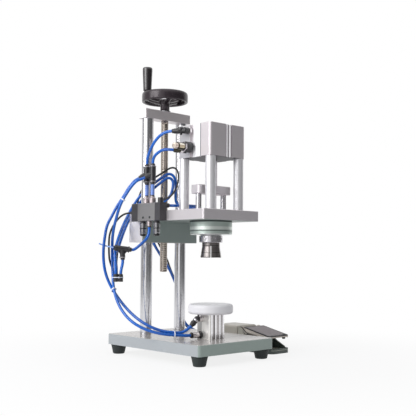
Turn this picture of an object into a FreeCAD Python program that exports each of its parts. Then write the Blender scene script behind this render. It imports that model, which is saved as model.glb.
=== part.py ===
import FreeCAD, Part
import math
import os

# A bench capping machine: a base plate, two columns with a lead screw, a sliding carriage that holds a
# pressing cylinder over a collet of six jaws, a lifting bottle rest, and a foot pedal beside it.
# Millimetres. The origin is the centre of the bottle rest's top face, on the spindle axis.
# X points to the machine's right, Y to its back and Z up.

V = FreeCAD.Vector
UP = V(0, 0, 1)
RIGHT = V(1, 0, 0)
BACK = V(0, 1, 0)

# Clearances
running_gap = 0.06
seat_gap = 0.02
rest_gap = 0.3

# Bottle rest and its lifting cylinder
platen_radius = 46.0
platen_thickness = 20.0
platen_edge_round = 6.0
lift_barrel_width = 41.0
lift_barrel_height = 50.0
lift_barrel_corner = 5.0
lift_groove_width = 4.6
lift_groove_depth = 3.0
lift_groove_offset = 8.0
lift_bore_radius = 15.0
lift_top_wall = 10.0
lift_piston_thickness = 10.0
lift_rod_radius = 7.0
lift_spigot_depth = 12.0

# Base plate and feet
base_width = 208.0
base_front_reach = 79.0
base_depth = 292.0
base_thickness = 22.0
base_corner_radius = 7.0
base_edge_chamfer = 1.2
foot_height = 20.0
foot_top_radius = 16.0
foot_bottom_radius = 13.0
foot_inset = 18.0
foot_recess_radius = 5.0
foot_recess_depth = 7.0

# Columns and crossbar
column_radius = 12.5
column_spacing = 96.0
column_row_y = 151.5
column_exposed_height = 465.4
column_socket_depth = 12.0
column_spigot_radius = 8.0
column_spigot_length = 14.0
crossbar_width = 129.0
crossbar_depth = 28.0
crossbar_height = 20.2
crossbar_corner_radius = 3.0

# Lead screw, its bush and the handwheel
screw_radius = 8.0
screw_hang = 333.4
screw_journal_radius = 7.0
screw_tail_radius = 6.0
bush_radius = 12.0
bush_flange_radius = 14.0
bush_flange_height = 2.0
hub_radius = 11.5
hub_height = 26.0
rim_radius = 48.5
rim_width = 14.0
rim_height = 19.0
rim_round = 5.0
rim_lift = 22.0
spoke_count = 3
spoke_width = 9.0
spoke_thickness = 7.0
spoke_phase = 20.0
handle_circle_radius = 40.0
handle_angle = 152.0
handle_spindle_radius = 4.0
handle_collar_radius = 6.5
handle_collar_height = 2.0
handle_length = 55.0
handle_foot_radius = 8.5
handle_top_radius = 11.0
handle_cap_thickness = 8.0

# Carriage and head plate
carriage_width = 156.0
carriage_front_y = 128.0
carriage_back_y = 175.0
carriage_bottom_z = 125.6
carriage_height = 43.4
carriage_corner_radius = 2.5
bush_wall = 3.5
nut_wall = 4.0
head_plate_thickness = 21.0
head_plate_front_y = -62.0
head_plate_corner_radius = 4.0
column_pass_gap = 0.8
screw_pass_gap = 1.5

# Pressing cylinder on four posts
post_radius = 10.25
post_spacing = 79.0
post_height = 107.6
post_inset = 9.5
cylinder_height = 67.1
cylinder_corner_radius = 5.0
cylinder_cap_thickness = 9.0
cylinder_bore_radius = 40.0
channel_width = 17.0
channel_depth = 3.5
channel_offset = 3.0
piston_thickness = 14.0
piston_top_gap = 1.0
rod_radius = 12.5
rod_tail_radius = 6.0
rod_spigot_radius = 8.0
rod_spigot_depth = 10.0

# Yoke, push rods and closing disc
yoke_width = 91.0
yoke_depth = 29.0
yoke_height = 17.5
yoke_corner_radius = 7.0
yoke_lift = 34.0
push_rod_radius = 6.0
push_rod_spacing = 70.0
guide_bush_radius = 9.0
guide_flange_radius = 10.5
guide_flange_height = 2.0
disc_radius = 43.5
disc_height = 27.7
disc_cover_height = 7.3
disc_split_width = 0.8
disc_socket_depth = 12.0
ring_radius = 24.0
ring_height = 14.3
ring_neck_radius = 21.5
ring_neck_height = 2.0
ring_hole_radius = 2.0
ring_hole_depth = 2.5
ring_hole_count = 8
core_radius = 18.4
core_spigot_radius = 10.0
core_spigot_length = 12.0

# Collet: six jaws that hang in a groove of the core and pivot inward under the ring
jaw_count = 6
jaw_phase = 15.0
jaw_slit = 2.4
jaw_length = 42.5
jaw_neck_radius = 18.0
jaw_neck_length = 20.0
jaw_mouth_radius = 21.35
jaw_cavity_radius = 16.0
jaw_cavity_depth = 24.0
jaw_collar_radius = 14.6
jaw_waist_radius = 12.4
jaw_hook_radius = 9.8
jaw_hook_height = 3.0
jaw_hook_drop = 3.0
jaw_lip = 2.0
core_groove_radius = 9.0
core_foot_radius = 11.0
hook_play = 0.5

# Control valve on the head plate's left edge
valve_thickness = 18.0
valve_front_y = 49.6
valve_rear_y = 142.5
valve_body_front_y = 66.0
valve_body_rear_y = 122.0
valve_top_rise = 16.0
valve_corner_radius = 1.5
spool_radius = 5.0
spool_groove_depth = 1.6
spool_end_room = 5.0
outlet_front_y = 83.0
outlet_rear_y = 102.5
valve_port_x = -88.0
push_fitting_radius = 7.0
push_fitting_height = 11.0
collet_ring_radius = 5.0
collet_ring_height = 3.0
silencer_front_y = 69.5
silencer_rear_y = 114.5
silencer_radius = 7.0
silencer_length = 31.0
supply_port_y = 92.5
supply_fitting_radius = 5.6
supply_fitting_length = 8.5
pilot_radius = 5.0
pilot_length = 10.0
pilot_front_y = 57.0
pilot_front_rise = 10.5
pilot_rear_rise = -2.0
pilot_top_height = 10.0
riser_radius = 4.0
riser_length = 26.0
tee_radius = 6.5
tee_height = 40.0
tee_arm_rise = 20.0
tee_arm_radius = 5.8
tee_arm_length = 16.0
tee_arm_angle = 136.8
tee_arm_fall = 25.0

# Ports on the pressing cylinder's left face
upper_port_y = 13.0
upper_port_drop = 13.0
port_hex_flats = 14.0
port_hex_length = 4.0
flow_body_radius = 6.5
flow_reach = 10.0
flow_arm_length = 28.0
flow_knob_radius = 3.6
flow_knob_height = 4.5
lower_port_y = 10.0
lower_port_rise = 20.0
exhaust_body_radius = 11.0
exhaust_neck_length = 1.5
exhaust_body_length = 15.0
exhaust_nut_flats = 17.0
exhaust_nut_length = 4.0
exhaust_barrel_radius = 7.4
exhaust_barrel_length = 15.0
exhaust_dome_radius = 6.2
exhaust_dome_length = 12.0
exhaust_arm_radius = 5.0
exhaust_arm_reach = 25.0

# Fittings on the lifting cylinder's left face
lift_upper_y = 3.0
lift_upper_drop = 9.5
lift_lower_y = 6.0
lift_lower_drop = 41.5
lift_fitting_radius = 6.0
lift_banjo_reach = 14.0
lift_arm_length = 17.0
lift_lower_reach = 28.0

# Supply tee and coupling that hang on the hoses
supply_tee_centre = V(-136.5, 119.5, 111.3)
supply_tee_direction = V(-0.893, 0.437, 0.115)
supply_tee_half_length = 17.5
supply_tee_radius = 5.6
supply_tee_branch = 21.0
inlet_bore_radius = 3.05
inlet_bore_depth = 14.0
coupling_radius = 4.8
coupling_height = 14.0
coupling_floor_z = 44.0
coupling_sockets = [V(-140, 119, 0), V(-149, 124, 0), V(-141.5, 131.5, 0)]

# Hoses
air_hose_radius = 3.0
pilot_hose_radius = 2.0

# Foot pedal
pedal_left_x = 143.5
pedal_width = 62.5
pedal_front_y = -30.0
pedal_rear_y = 136.0
pedal_floor_thickness = 7.0
pedal_floor_corner = 14.0
pedal_wall = 3.0
pedal_side_gap = 1.0
pedal_pin_y = 56.0
pedal_pin_rise = 46.0
pedal_pin_radius = 3.0
pedal_ear_radius = 7.0
treadle_front_rise = 38.0
treadle_back_y = 42.0
treadle_back_rise = 53.0
treadle_thickness = 5.0
treadle_skirt = 5.0
treadle_arm_width = 8.0
pedal_body_front_y = 65.0
pedal_body_height = 47.0
pedal_body_round = 7.0
plunger_y = 22.0
plunger_radius = 5.0
plunger_boss_radius = 9.0
plunger_boss_height = 20.0
plunger_gap = 0.5
pedal_port_radius = 5.0
pedal_port_length = 10.0
pedal_port_rise = 24.0
pedal_ports_x = [160.0, 173.0, 186.0]

# Levels and places worked out from the sizes above
platen_bottom_z = -platen_thickness
plate_top_z = platen_bottom_z - lift_barrel_height
plate_bottom_z = plate_top_z - base_thickness
floor_z = plate_bottom_z - foot_height
crossbar_bottom_z = plate_top_z + column_exposed_height
crossbar_top_z = crossbar_bottom_z + crossbar_height
head_plate_bottom_z = carriage_bottom_z + carriage_height
head_plate_top_z = head_plate_bottom_z + head_plate_thickness
cylinder_bottom_z = head_plate_top_z + post_height
cylinder_top_z = cylinder_bottom_z + cylinder_height
cylinder_width = post_spacing + 2 * post_inset
yoke_bottom_z = head_plate_top_z + yoke_lift
yoke_top_z = yoke_bottom_z + yoke_height
disc_top_z = head_plate_bottom_z - rest_gap
disc_bottom_z = disc_top_z - disc_height
ring_bottom_z = disc_bottom_z - ring_neck_height - ring_height
jaw_top_z = ring_bottom_z + 11.8
jaw_bottom_z = jaw_top_z - jaw_length
hook_top_z = jaw_top_z - jaw_hook_drop
hook_bottom_z = hook_top_z - jaw_hook_height
cavity_top_z = jaw_bottom_z + jaw_cavity_depth
column_places = [V(side * column_spacing / 2, column_row_y, 0) for side in (-1, 1)]
screw_place = V(0, column_row_y, 0)
carriage_left_x = -carriage_width / 2
valve_centre_x = carriage_left_x - valve_thickness / 2
valve_top_z = head_plate_top_z + valve_top_rise
outlet_places = [V(valve_port_x, outlet_front_y, 0), V(valve_port_x, outlet_rear_y, 0)]
rod_places = [V(side * push_rod_spacing / 2, 0, 0) for side in (-1, 1)]
outlet_top_z = valve_top_z + push_fitting_height + collet_ring_height
tee_bottom_z = outlet_top_z + riser_length
tee_top_z = tee_bottom_z + tee_height
pedal_right_x = pedal_left_x + pedal_width


def block(x0, x1, y0, y1, z0, z1):
    """A plain box between two corners."""
    return Part.makeBox(x1 - x0, y1 - y0, z1 - z0, V(x0, y0, z0))


def upright_edges(shape):
    """The straight edges that run along Z."""
    chosen = []
    for edge in shape.Edges:
        start, end = edge.Vertexes[0].Point, edge.Vertexes[-1].Point
        if abs(start.x - end.x) < 1e-6 and abs(start.y - end.y) < 1e-6:
            chosen.append(edge)
    return chosen


def edges_at_height(shape, height):
    """The edges that lie in a level plane."""
    return [e for e in shape.Edges if abs(e.BoundBox.ZMin - height) < 1e-5 and abs(e.BoundBox.ZMax - height) < 1e-5]


def rounded_block(x0, x1, y0, y1, z0, z1, corner):
    """A box whose upright corners are rounded."""
    shape = block(x0, x1, y0, y1, z0, z1)
    return shape.makeFillet(corner, upright_edges(shape))


def rod(radius, start, direction, length):
    """A round bar from a point along a direction."""
    return Part.makeCylinder(radius, length, start, direction)


def upright(radius, place, z0, z1):
    """A round bar between two heights."""
    return rod(radius, V(place.x, place.y, z0), UP, z1 - z0)


def turned(profile, place=V(0, 0, 0), angle=360.0):
    """A solid of revolution about Z from (radius, height) points."""
    points = [V(r, 0, z) for r, z in profile]
    face = Part.Face(Part.makePolygon(points + points[:1]))
    shape = face.revolve(V(0, 0, 0), UP, angle)
    shape.translate(place)
    return shape


def turned_along(profile, start, direction):
    """A solid of revolution about any axis from (radius, distance) points."""
    shape = turned(profile)
    shape.Placement = FreeCAD.Placement(start, FreeCAD.Rotation(UP, direction))
    return shape


def hexagon(across_flats, start, direction, length):
    """A hexagonal bar."""
    radius = across_flats / math.sqrt(3)
    corners = [V(radius * math.cos(math.radians(60 * i)), radius * math.sin(math.radians(60 * i)), 0) for i in range(7)]
    shape = Part.Face(Part.makePolygon(corners)).extrude(V(0, 0, length))
    shape.Placement = FreeCAD.Placement(start, FreeCAD.Rotation(UP, direction))
    return shape


def prism_across_x(outline, x0, x1):
    """A flat outline of (y, z) points carried along X."""
    points = [V(x0, y, z) for y, z in outline]
    return Part.Face(Part.makePolygon(points + points[:1])).extrude(V(x1 - x0, 0, 0))


def fused(shapes):
    """One solid from several that meet or overlap."""
    return shapes[0].multiFuse(shapes[1:]).removeSplitter()


def save(name, *solids):
    """Write one node."""
    shape = solids[0] if len(solids) == 1 else Part.makeCompound(list(solids))
    if not shape.isValid():
        print("not valid:", name)
    shape.exportStep("parts/" + name + ".step")


# Base plate, feet, columns and crossbar

def base_plate():
    front_y = -base_front_reach
    shape = rounded_block(-base_width / 2, base_width / 2, front_y, front_y + base_depth,
                          plate_bottom_z, plate_top_z, base_corner_radius)
    shape = shape.makeChamfer(base_edge_chamfer, edges_at_height(shape, plate_top_z))
    for place in column_places:
        shape = shape.cut(upright(column_radius + seat_gap, place, plate_top_z - column_socket_depth, plate_top_z + 1))
    return shape


def feet():
    """Four tapered rubber feet, each with a screw recess underneath."""
    front_y = -base_front_reach
    shapes = []
    for x in (-base_width / 2 + foot_inset, base_width / 2 - foot_inset):
        for y in (front_y + foot_inset, front_y + base_depth - foot_inset):
            profile = [(0, foot_height), (foot_top_radius, foot_height), (foot_top_radius, foot_height - 2),
                       (foot_bottom_radius + 0.6, 1.5), (foot_bottom_radius - 0.9, 0), (foot_recess_radius, 0),
                       (foot_recess_radius, foot_recess_depth), (0, foot_recess_depth)]
            shapes.append(turned(profile, V(x, y, floor_z)))
    return shapes


def columns():
    """Two polished bars: a seat in the base plate and a spigot up into the crossbar."""
    bottom_z = plate_top_z - column_socket_depth
    top_z = crossbar_bottom_z
    profile = [(0, bottom_z), (column_radius - 1, bottom_z), (column_radius, bottom_z + 1),
               (column_radius, top_z), (column_spigot_radius, top_z),
               (column_spigot_radius, top_z + column_spigot_length), (0, top_z + column_spigot_length)]
    return [turned(profile, place) for place in column_places]


def crossbar():
    half_depth = crossbar_depth / 2
    shape = rounded_block(-crossbar_width / 2, crossbar_width / 2, column_row_y - half_depth,
                          column_row_y + half_depth, crossbar_bottom_z, crossbar_top_z, crossbar_corner_radius)
    shape = shape.makeChamfer(0.8, edges_at_height(shape, crossbar_top_z))
    for place in column_places:
        socket_top_z = crossbar_bottom_z + column_spigot_length + seat_gap
        shape = shape.cut(upright(column_spigot_radius + seat_gap, place, crossbar_bottom_z - 1, socket_top_z))
    return shape.cut(upright(bush_radius, screw_place, crossbar_bottom_z - 1, crossbar_top_z + 1))


def thrust_bush():
    """The flanged bush that carries the lead screw in the crossbar."""
    bore = screw_journal_radius + running_gap
    flange_top_z = crossbar_top_z + bush_flange_height
    profile = [(bore, crossbar_bottom_z), (bush_radius, crossbar_bottom_z), (bush_radius, crossbar_top_z),
               (bush_flange_radius, crossbar_top_z), (bush_flange_radius, flange_top_z), (bore, flange_top_z)]
    return turned(profile, screw_place)


# Lead screw and handwheel

hub_bottom_z = crossbar_top_z + bush_flange_height + rest_gap
hub_top_z = hub_bottom_z + hub_height
rim_bottom_z = hub_bottom_z + rim_lift
rim_top_z = rim_bottom_z + rim_height
handle_place = V(handle_circle_radius * math.cos(math.radians(handle_angle)),
                 column_row_y + handle_circle_radius * math.sin(math.radians(handle_angle)), 0)
grip_bottom_z = rim_top_z + handle_collar_height + rest_gap
grip_top_z = rim_top_z + handle_length


def lead_screw():
    bottom_z = crossbar_bottom_z - screw_hang
    shoulder_z = crossbar_bottom_z - rest_gap
    profile = [(0, bottom_z), (screw_radius - 1.5, bottom_z), (screw_radius, bottom_z + 1.5),
               (screw_radius, shoulder_z), (screw_journal_radius, shoulder_z),
               (screw_journal_radius, hub_bottom_z), (screw_tail_radius, hub_bottom_z),
               (screw_tail_radius, hub_top_z - 2), (0, hub_top_z - 2)]
    return turned(profile, screw_place)


def spoke(angle):
    """A tapering arm that rises from the hub to the rim."""
    sections = []
    for radius, height, width in ((hub_radius - 3, hub_top_z - 6, spoke_width + 2),
                                  (rim_radius - rim_width + 2, rim_bottom_z + rim_height / 2, spoke_width)):
        half_width, half_height = width / 2, spoke_thickness / 2
        corners = [V(radius, side * half_width, height + lift * half_height)
                   for side, lift in ((-1, -1), (1, -1), (1, 1), (-1, 1), (-1, -1))]
        sections.append(Part.makePolygon(corners))
    shape = Part.makeLoft(sections, True, True)
    shape.rotate(V(0, 0, 0), UP, angle)
    shape.translate(screw_place)
    return shape


def handwheel():
    """Hub, three arms and a rounded rim, bored for the screw's tail and the handle's spindle."""
    hub = turned([(screw_tail_radius + seat_gap, hub_bottom_z), (hub_radius, hub_bottom_z),
                  (hub_radius, hub_top_z - 1.5), (hub_radius - 1.5, hub_top_z),
                  (screw_tail_radius + seat_gap, hub_top_z)], screw_place)
    inner = rim_radius - rim_width
    rim = turned([(inner, rim_bottom_z), (rim_radius, rim_bottom_z), (rim_radius, rim_top_z), (inner, rim_top_z)],
                 screw_place)
    rim = rim.makeFillet(rim_round, edges_at_height(rim, rim_top_z) + edges_at_height(rim, rim_bottom_z))
    arms = [spoke(spoke_phase + 360.0 * i / spoke_count) for i in range(spoke_count)]
    shape = fused([hub, rim] + arms)
    shape = shape.cut(upright(screw_tail_radius + seat_gap, screw_place, hub_bottom_z - 1, hub_top_z + 5))
    return shape.cut(upright(handle_spindle_radius + seat_gap, handle_place, rim_bottom_z - 1, rim_top_z + 1))


def handle_spindle():
    profile = [(0, rim_bottom_z), (handle_spindle_radius, rim_bottom_z), (handle_spindle_radius, rim_top_z),
               (handle_collar_radius, rim_top_z), (handle_collar_radius, rim_top_z + handle_collar_height),
               (handle_spindle_radius, rim_top_z + handle_collar_height),
               (handle_spindle_radius, grip_top_z - handle_cap_thickness - 1),
               (0, grip_top_z - handle_cap_thickness - 1)]
    return turned(profile, handle_place)


def handle_grip():
    """A hollow revolving grip, wider at the top, with a domed end."""
    bore = handle_spindle_radius + running_gap
    ceiling_z = grip_top_z - handle_cap_thickness
    shoulder_z = grip_top_z - 9
    profile = [(bore, grip_bottom_z), (handle_foot_radius - 1, grip_bottom_z), (handle_foot_radius, grip_bottom_z + 1),
               (handle_foot_radius, grip_bottom_z + 4), (handle_top_radius, shoulder_z - 6),
               (handle_top_radius, shoulder_z)]
    for step in range(1, 6):
        turn = math.radians(90 * step / 5)
        profile.append((handle_top_radius * math.cos(turn), shoulder_z + 9 * math.sin(turn)))
    profile += [(0, ceiling_z), (bore, ceiling_z)]
    return turned(profile, handle_place)


# Carriage

def carriage_block():
    shape = rounded_block(carriage_left_x, -carriage_left_x, carriage_front_y, carriage_back_y,
                          carriage_bottom_z, head_plate_bottom_z, carriage_corner_radius)
    for place in column_places:
        shape = shape.cut(upright(column_radius + bush_wall, place, carriage_bottom_z - 1, head_plate_bottom_z + 1))
    return shape.cut(upright(screw_radius + nut_wall, screw_place, carriage_bottom_z - 1, head_plate_bottom_z + 1))


def column_bushes():
    bore = column_radius + running_gap
    wall = column_radius + bush_wall
    profile = [(bore, carriage_bottom_z), (wall, carriage_bottom_z), (wall, head_plate_bottom_z),
               (bore, head_plate_bottom_z)]
    return [turned(profile, place) for place in column_places]


def screw_nut():
    bore = screw_radius + running_gap
    wall = screw_radius + nut_wall
    return turned([(bore, carriage_bottom_z), (wall, carriage_bottom_z), (wall, head_plate_bottom_z),
                   (bore, head_plate_bottom_z)], screw_place)


def head_plate():
    shape = rounded_block(carriage_left_x, -carriage_left_x, head_plate_front_y, carriage_back_y,
                          head_plate_bottom_z, head_plate_top_z, head_plate_corner_radius)
    shape = shape.makeChamfer(0.8, edges_at_height(shape, head_plate_top_z))
    holes = [(place, column_radius + column_pass_gap) for place in column_places]
    holes += [(screw_place, screw_radius + screw_pass_gap)]
    holes += [(place, guide_bush_radius) for place in rod_places]
    for place, radius in holes:
        shape = shape.cut(upright(radius, place, head_plate_bottom_z - 1, head_plate_top_z + 1))
    return shape.cut(upright(core_spigot_radius, V(0, 0, 0), head_plate_bottom_z - 1,
                             head_plate_bottom_z + core_spigot_length))


def head_posts():
    half = post_spacing / 2
    profile = [(0, head_plate_top_z), (post_radius - 0.8, head_plate_top_z), (post_radius, head_plate_top_z + 0.8),
               (post_radius, cylinder_bottom_z - 0.8), (post_radius - 0.8, cylinder_bottom_z), (0, cylinder_bottom_z)]
    return [turned(profile, V(x, y, 0)) for x in (-half, half) for y in (-half, half)]


# Pressing cylinder

def cylinder_slice(z0, z1):
    """A length of the square body with its sensor channel down each face."""
    half = cylinder_width / 2
    shape = rounded_block(-half, half, -half, half, z0, z1, cylinder_corner_radius)
    for quarter in range(4):
        centre = channel_offset if quarter == 0 else -channel_offset
        channel = block(centre - channel_width / 2, centre + channel_width / 2, -half - 1, -half + channel_depth,
                        z0 - 1, z1 + 1)
        channel.rotate(V(0, 0, 0), UP, -90 * quarter)
        shape = shape.cut(channel)
    return shape


barrel_bottom_z = cylinder_bottom_z + cylinder_cap_thickness
barrel_top_z = cylinder_top_z - cylinder_cap_thickness
piston_top_z = barrel_top_z - piston_top_gap
piston_bottom_z = piston_top_z - piston_thickness


def cylinder_barrel():
    shape = cylinder_slice(barrel_bottom_z, barrel_top_z)
    return shape.cut(upright(cylinder_bore_radius, V(0, 0, 0), barrel_bottom_z - 1, barrel_top_z + 1))


def cylinder_caps():
    """The closed upper cap and the lower cap that guides the rod."""
    lower = cylinder_slice(cylinder_bottom_z, barrel_bottom_z)
    lower = lower.cut(upright(rod_radius + running_gap, V(0, 0, 0), cylinder_bottom_z - 1, barrel_bottom_z + 1))
    upper = cylinder_slice(barrel_top_z, cylinder_top_z)
    return [lower, upper.makeChamfer(0.6, edges_at_height(upper, cylinder_top_z))]


def piston():
    bore = rod_tail_radius
    wall = cylinder_bore_radius - running_gap
    seal_z = piston_bottom_z + piston_thickness / 2
    return turned([(bore, piston_bottom_z), (wall, piston_bottom_z), (wall, seal_z - 2), (wall - 2.5, seal_z - 2),
                   (wall - 2.5, seal_z + 2), (wall, seal_z + 2), (wall, piston_top_z), (bore, piston_top_z)])


def piston_rod():
    return turned([(0, yoke_top_z - rod_spigot_depth), (rod_spigot_radius, yoke_top_z - rod_spigot_depth),
                   (rod_spigot_radius, yoke_top_z), (rod_radius, yoke_top_z), (rod_radius, piston_bottom_z),
                   (rod_tail_radius, piston_bottom_z), (rod_tail_radius, piston_top_z), (0, piston_top_z)])


# Yoke, push rods, closing disc and ring

def yoke():
    half_width, half_depth = yoke_width / 2, yoke_depth / 2
    shape = rounded_block(-half_width, half_width, -half_depth, half_depth, yoke_bottom_z, yoke_top_z,
                          yoke_corner_radius)
    shape = shape.makeChamfer(1.0, edges_at_height(shape, yoke_top_z) + edges_at_height(shape, yoke_bottom_z))
    shape = shape.cut(upright(rod_spigot_radius, V(0, 0, 0), yoke_top_z - rod_spigot_depth, yoke_top_z + 1))
    for place in rod_places:
        shape = shape.cut(upright(push_rod_radius, place, yoke_bottom_z - 1, yoke_top_z + 1))
    return shape


def push_rods():
    return [upright(push_rod_radius, place, disc_top_z - disc_socket_depth, yoke_top_z - 1) for place in rod_places]


def guide_bushes():
    bore = push_rod_radius + running_gap
    flange_top_z = head_plate_top_z + guide_flange_height
    profile = [(bore, head_plate_bottom_z), (guide_bush_radius, head_plate_bottom_z),
               (guide_bush_radius, head_plate_top_z), (guide_flange_radius, head_plate_top_z),
               (guide_flange_radius, flange_top_z), (bore, flange_top_z)]
    return [turned(profile, place) for place in rod_places]


def closing_disc():
    """The disc that the push rods drive, with a shallow line where its cover meets it."""
    bore = core_radius + running_gap
    split_z = disc_bottom_z + disc_cover_height
    shape = turned([(bore, disc_bottom_z), (disc_radius - 1, disc_bottom_z), (disc_radius, disc_bottom_z + 1),
                    (disc_radius, split_z), (disc_radius - 1, split_z), (disc_radius - 1, split_z + disc_split_width),
                    (disc_radius, split_z + disc_split_width), (disc_radius, disc_top_z), (bore, disc_top_z)])
    for place in rod_places:
        shape = shape.cut(upright(push_rod_radius, place, disc_top_z - disc_socket_depth, disc_top_z + 1))
    return shape


def closing_ring():
    """The sleeve that slides over the collet, with set-screw holes round it."""
    bore = core_radius + running_gap
    shape = turned([(bore, ring_bottom_z), (ring_radius - 1, ring_bottom_z), (ring_radius, ring_bottom_z + 1),
                    (ring_radius, ring_bottom_z + ring_height - 1), (ring_radius - 1, ring_bottom_z + ring_height),
                    (ring_neck_radius, ring_bottom_z + ring_height), (ring_neck_radius, disc_bottom_z),
                    (bore, disc_bottom_z)])
    for i in range(ring_hole_count):
        turn = math.radians(360.0 * (i + 0.5) / ring_hole_count)
        outward = V(math.cos(turn), math.sin(turn), 0)
        start = outward * (ring_radius - ring_hole_depth) + V(0, 0, ring_bottom_z + ring_height / 2)
        shape = shape.cut(rod(ring_hole_radius, start, outward, ring_hole_depth + 1))
    return shape


def collet_core():
    """The fixed post that guides the disc and holds the jaws in its groove."""
    body_bottom_z = jaw_top_z + 0.7
    groove_top_z = hook_top_z + hook_play
    groove_bottom_z = hook_bottom_z - hook_play
    return turned([(0, cavity_top_z), (core_foot_radius, cavity_top_z), (core_foot_radius, groove_bottom_z),
                   (core_groove_radius, groove_bottom_z), (core_groove_radius, groove_top_z),
                   (core_foot_radius, groove_top_z), (core_foot_radius, body_bottom_z),
                   (core_radius, body_bottom_z), (core_radius, head_plate_bottom_z),
                   (core_spigot_radius, head_plate_bottom_z),
                   (core_spigot_radius, head_plate_bottom_z + core_spigot_length),
                   (0, head_plate_bottom_z + core_spigot_length)])


def collet_jaw(index):
    """One sixth of a bell-mouthed collet: a hooked top, a straight neck and a flared mouth."""
    share = 360.0 / jaw_count
    neck_z = jaw_top_z - jaw_neck_length
    profile = [(jaw_cavity_radius, jaw_bottom_z), (jaw_mouth_radius - 0.6, jaw_bottom_z),
               (jaw_mouth_radius, jaw_bottom_z + 0.8), (jaw_mouth_radius - 0.5, jaw_bottom_z + 4.5),
               (jaw_neck_radius, neck_z), (jaw_neck_radius, jaw_top_z), (jaw_collar_radius, jaw_top_z),
               (jaw_collar_radius, hook_top_z), (jaw_hook_radius, hook_top_z), (jaw_hook_radius, hook_bottom_z),
               (jaw_waist_radius, hook_bottom_z), (jaw_waist_radius, cavity_top_z + 0.5),
               (jaw_cavity_radius, cavity_top_z), (jaw_cavity_radius, jaw_bottom_z + jaw_lip)]
    shape = turned(profile, angle=share)
    for angle in (0, share):
        knife = block(0, jaw_mouth_radius + 5, -jaw_slit / 2, jaw_slit / 2, jaw_bottom_z - 1, jaw_top_z + 1)
        knife.rotate(V(0, 0, 0), UP, angle)
        shape = shape.cut(knife)
    shape.rotate(V(0, 0, 0), UP, jaw_phase - share / 2 + share * index)
    return shape


# Bottle rest and lifting cylinder

def lift_barrel():
    """A grooved square profile, bored from below, with a rod hole in its top wall."""
    half = lift_barrel_width / 2
    top_z = platen_bottom_z - rest_gap
    shape = rounded_block(-half, half, -half, half, plate_top_z, top_z, lift_barrel_corner)
    for quarter in range(4):
        for side in (-1, 1):
            centre = side * lift_groove_offset
            groove = block(centre - lift_groove_width / 2, centre + lift_groove_width / 2, -half - 1,
                           -half + lift_groove_depth, plate_top_z - 1, top_z + 1)
            groove.rotate(V(0, 0, 0), UP, 90 * quarter)
            if quarter != 3:
                shape = shape.cut(groove)
    shape = shape.cut(upright(lift_bore_radius, V(0, 0, 0), plate_top_z - 1, platen_bottom_z - lift_top_wall))
    return shape.cut(upright(lift_rod_radius + running_gap, V(0, 0, 0), plate_top_z, top_z + 1))


def lift_piston():
    bottom_z = plate_top_z + rest_gap
    return turned([(0, bottom_z), (lift_bore_radius - running_gap, bottom_z),
                   (lift_bore_radius - running_gap, bottom_z + lift_piston_thickness),
                   (lift_rod_radius, bottom_z + lift_piston_thickness),
                   (lift_rod_radius, platen_bottom_z + lift_spigot_depth), (0, platen_bottom_z + lift_spigot_depth)])


def platen():
    """The round bottle rest."""
    shape = upright(platen_radius, V(0, 0, 0), platen_bottom_z, 0)
    shape = shape.makeFillet(platen_edge_round, edges_at_height(shape, 0) + edges_at_height(shape, platen_bottom_z))
    return shape.cut(upright(lift_rod_radius, V(0, 0, 0), platen_bottom_z - 1, platen_bottom_z + lift_spigot_depth))


lift_face_x = -lift_barrel_width / 2
lift_arm_direction = V(-0.62, 0.3, -0.72).normalize()
lift_elbow = V(lift_face_x - lift_banjo_reach, lift_upper_y, platen_bottom_z - lift_upper_drop)
lift_upper_end = lift_elbow + lift_arm_direction * lift_arm_length
lift_lower_start = V(lift_face_x, lift_lower_y, platen_bottom_z - lift_lower_drop)
lift_lower_end = lift_lower_start + V(-lift_lower_reach, 0, 0)


def lift_fittings():
    """A flow-control elbow above and a straight fitting below, on the barrel's left face."""
    upper = fused([rod(lift_fitting_radius, V(lift_face_x, lift_elbow.y, lift_elbow.z), V(-1, 0, 0), lift_banjo_reach),
                   Part.makeSphere(lift_fitting_radius, lift_elbow),
                   rod(lift_fitting_radius - 0.6, lift_elbow, lift_arm_direction, lift_arm_length - 2),
                   rod(collet_ring_radius - 0.4, lift_elbow, lift_arm_direction, lift_arm_length),
                   rod(flow_knob_radius, lift_elbow + V(6, 0, 0), UP, 8.2)])
    lower = fused([hexagon(12, lift_lower_start, V(-1, 0, 0), 5),
                   rod(lift_fitting_radius, lift_lower_start, V(-1, 0, 0), lift_lower_reach - 2),
                   rod(collet_ring_radius - 0.4, lift_lower_start, V(-1, 0, 0), lift_lower_reach)])
    return [upper, lower]


# Control valve and its fittings

def valve_slice(y0, y1):
    shape = block(carriage_left_x - valve_thickness, carriage_left_x, y0, y1, head_plate_bottom_z, valve_top_z)
    along = [e for e in shape.Edges if e.BoundBox.YLength > 1 and e.BoundBox.XMax < carriage_left_x - 1]
    return shape.makeFillet(valve_corner_radius, along)


spool_axis_z = (head_plate_bottom_z + valve_top_z) / 2


def valve_body():
    shape = valve_slice(valve_body_front_y, valve_body_rear_y)
    length = valve_body_rear_y - valve_body_front_y
    return shape.cut(rod(spool_radius + running_gap, V(valve_centre_x, valve_body_front_y, spool_axis_z), BACK, length))


def valve_spool():
    """A grooved spool with room to shuttle at both ends."""
    length = valve_body_rear_y - valve_body_front_y - 2 * spool_end_room
    waist = spool_radius - spool_groove_depth
    profile = [(0, 0), (spool_radius, 0)]
    for step in range(3):
        start = length * (step + 0.6) / 3.6
        end = start + length * 0.4 / 3.6 * 1.5
        profile += [(spool_radius, start), (waist, start), (waist, end), (spool_radius, end)]
    profile += [(spool_radius, length), (0, length)]
    return turned_along(profile, V(valve_centre_x, valve_body_front_y + spool_end_room, spool_axis_z), BACK)


def valve_end_caps():
    return [valve_slice(valve_front_y, valve_body_front_y), valve_slice(valve_body_rear_y, valve_rear_y)]


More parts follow.
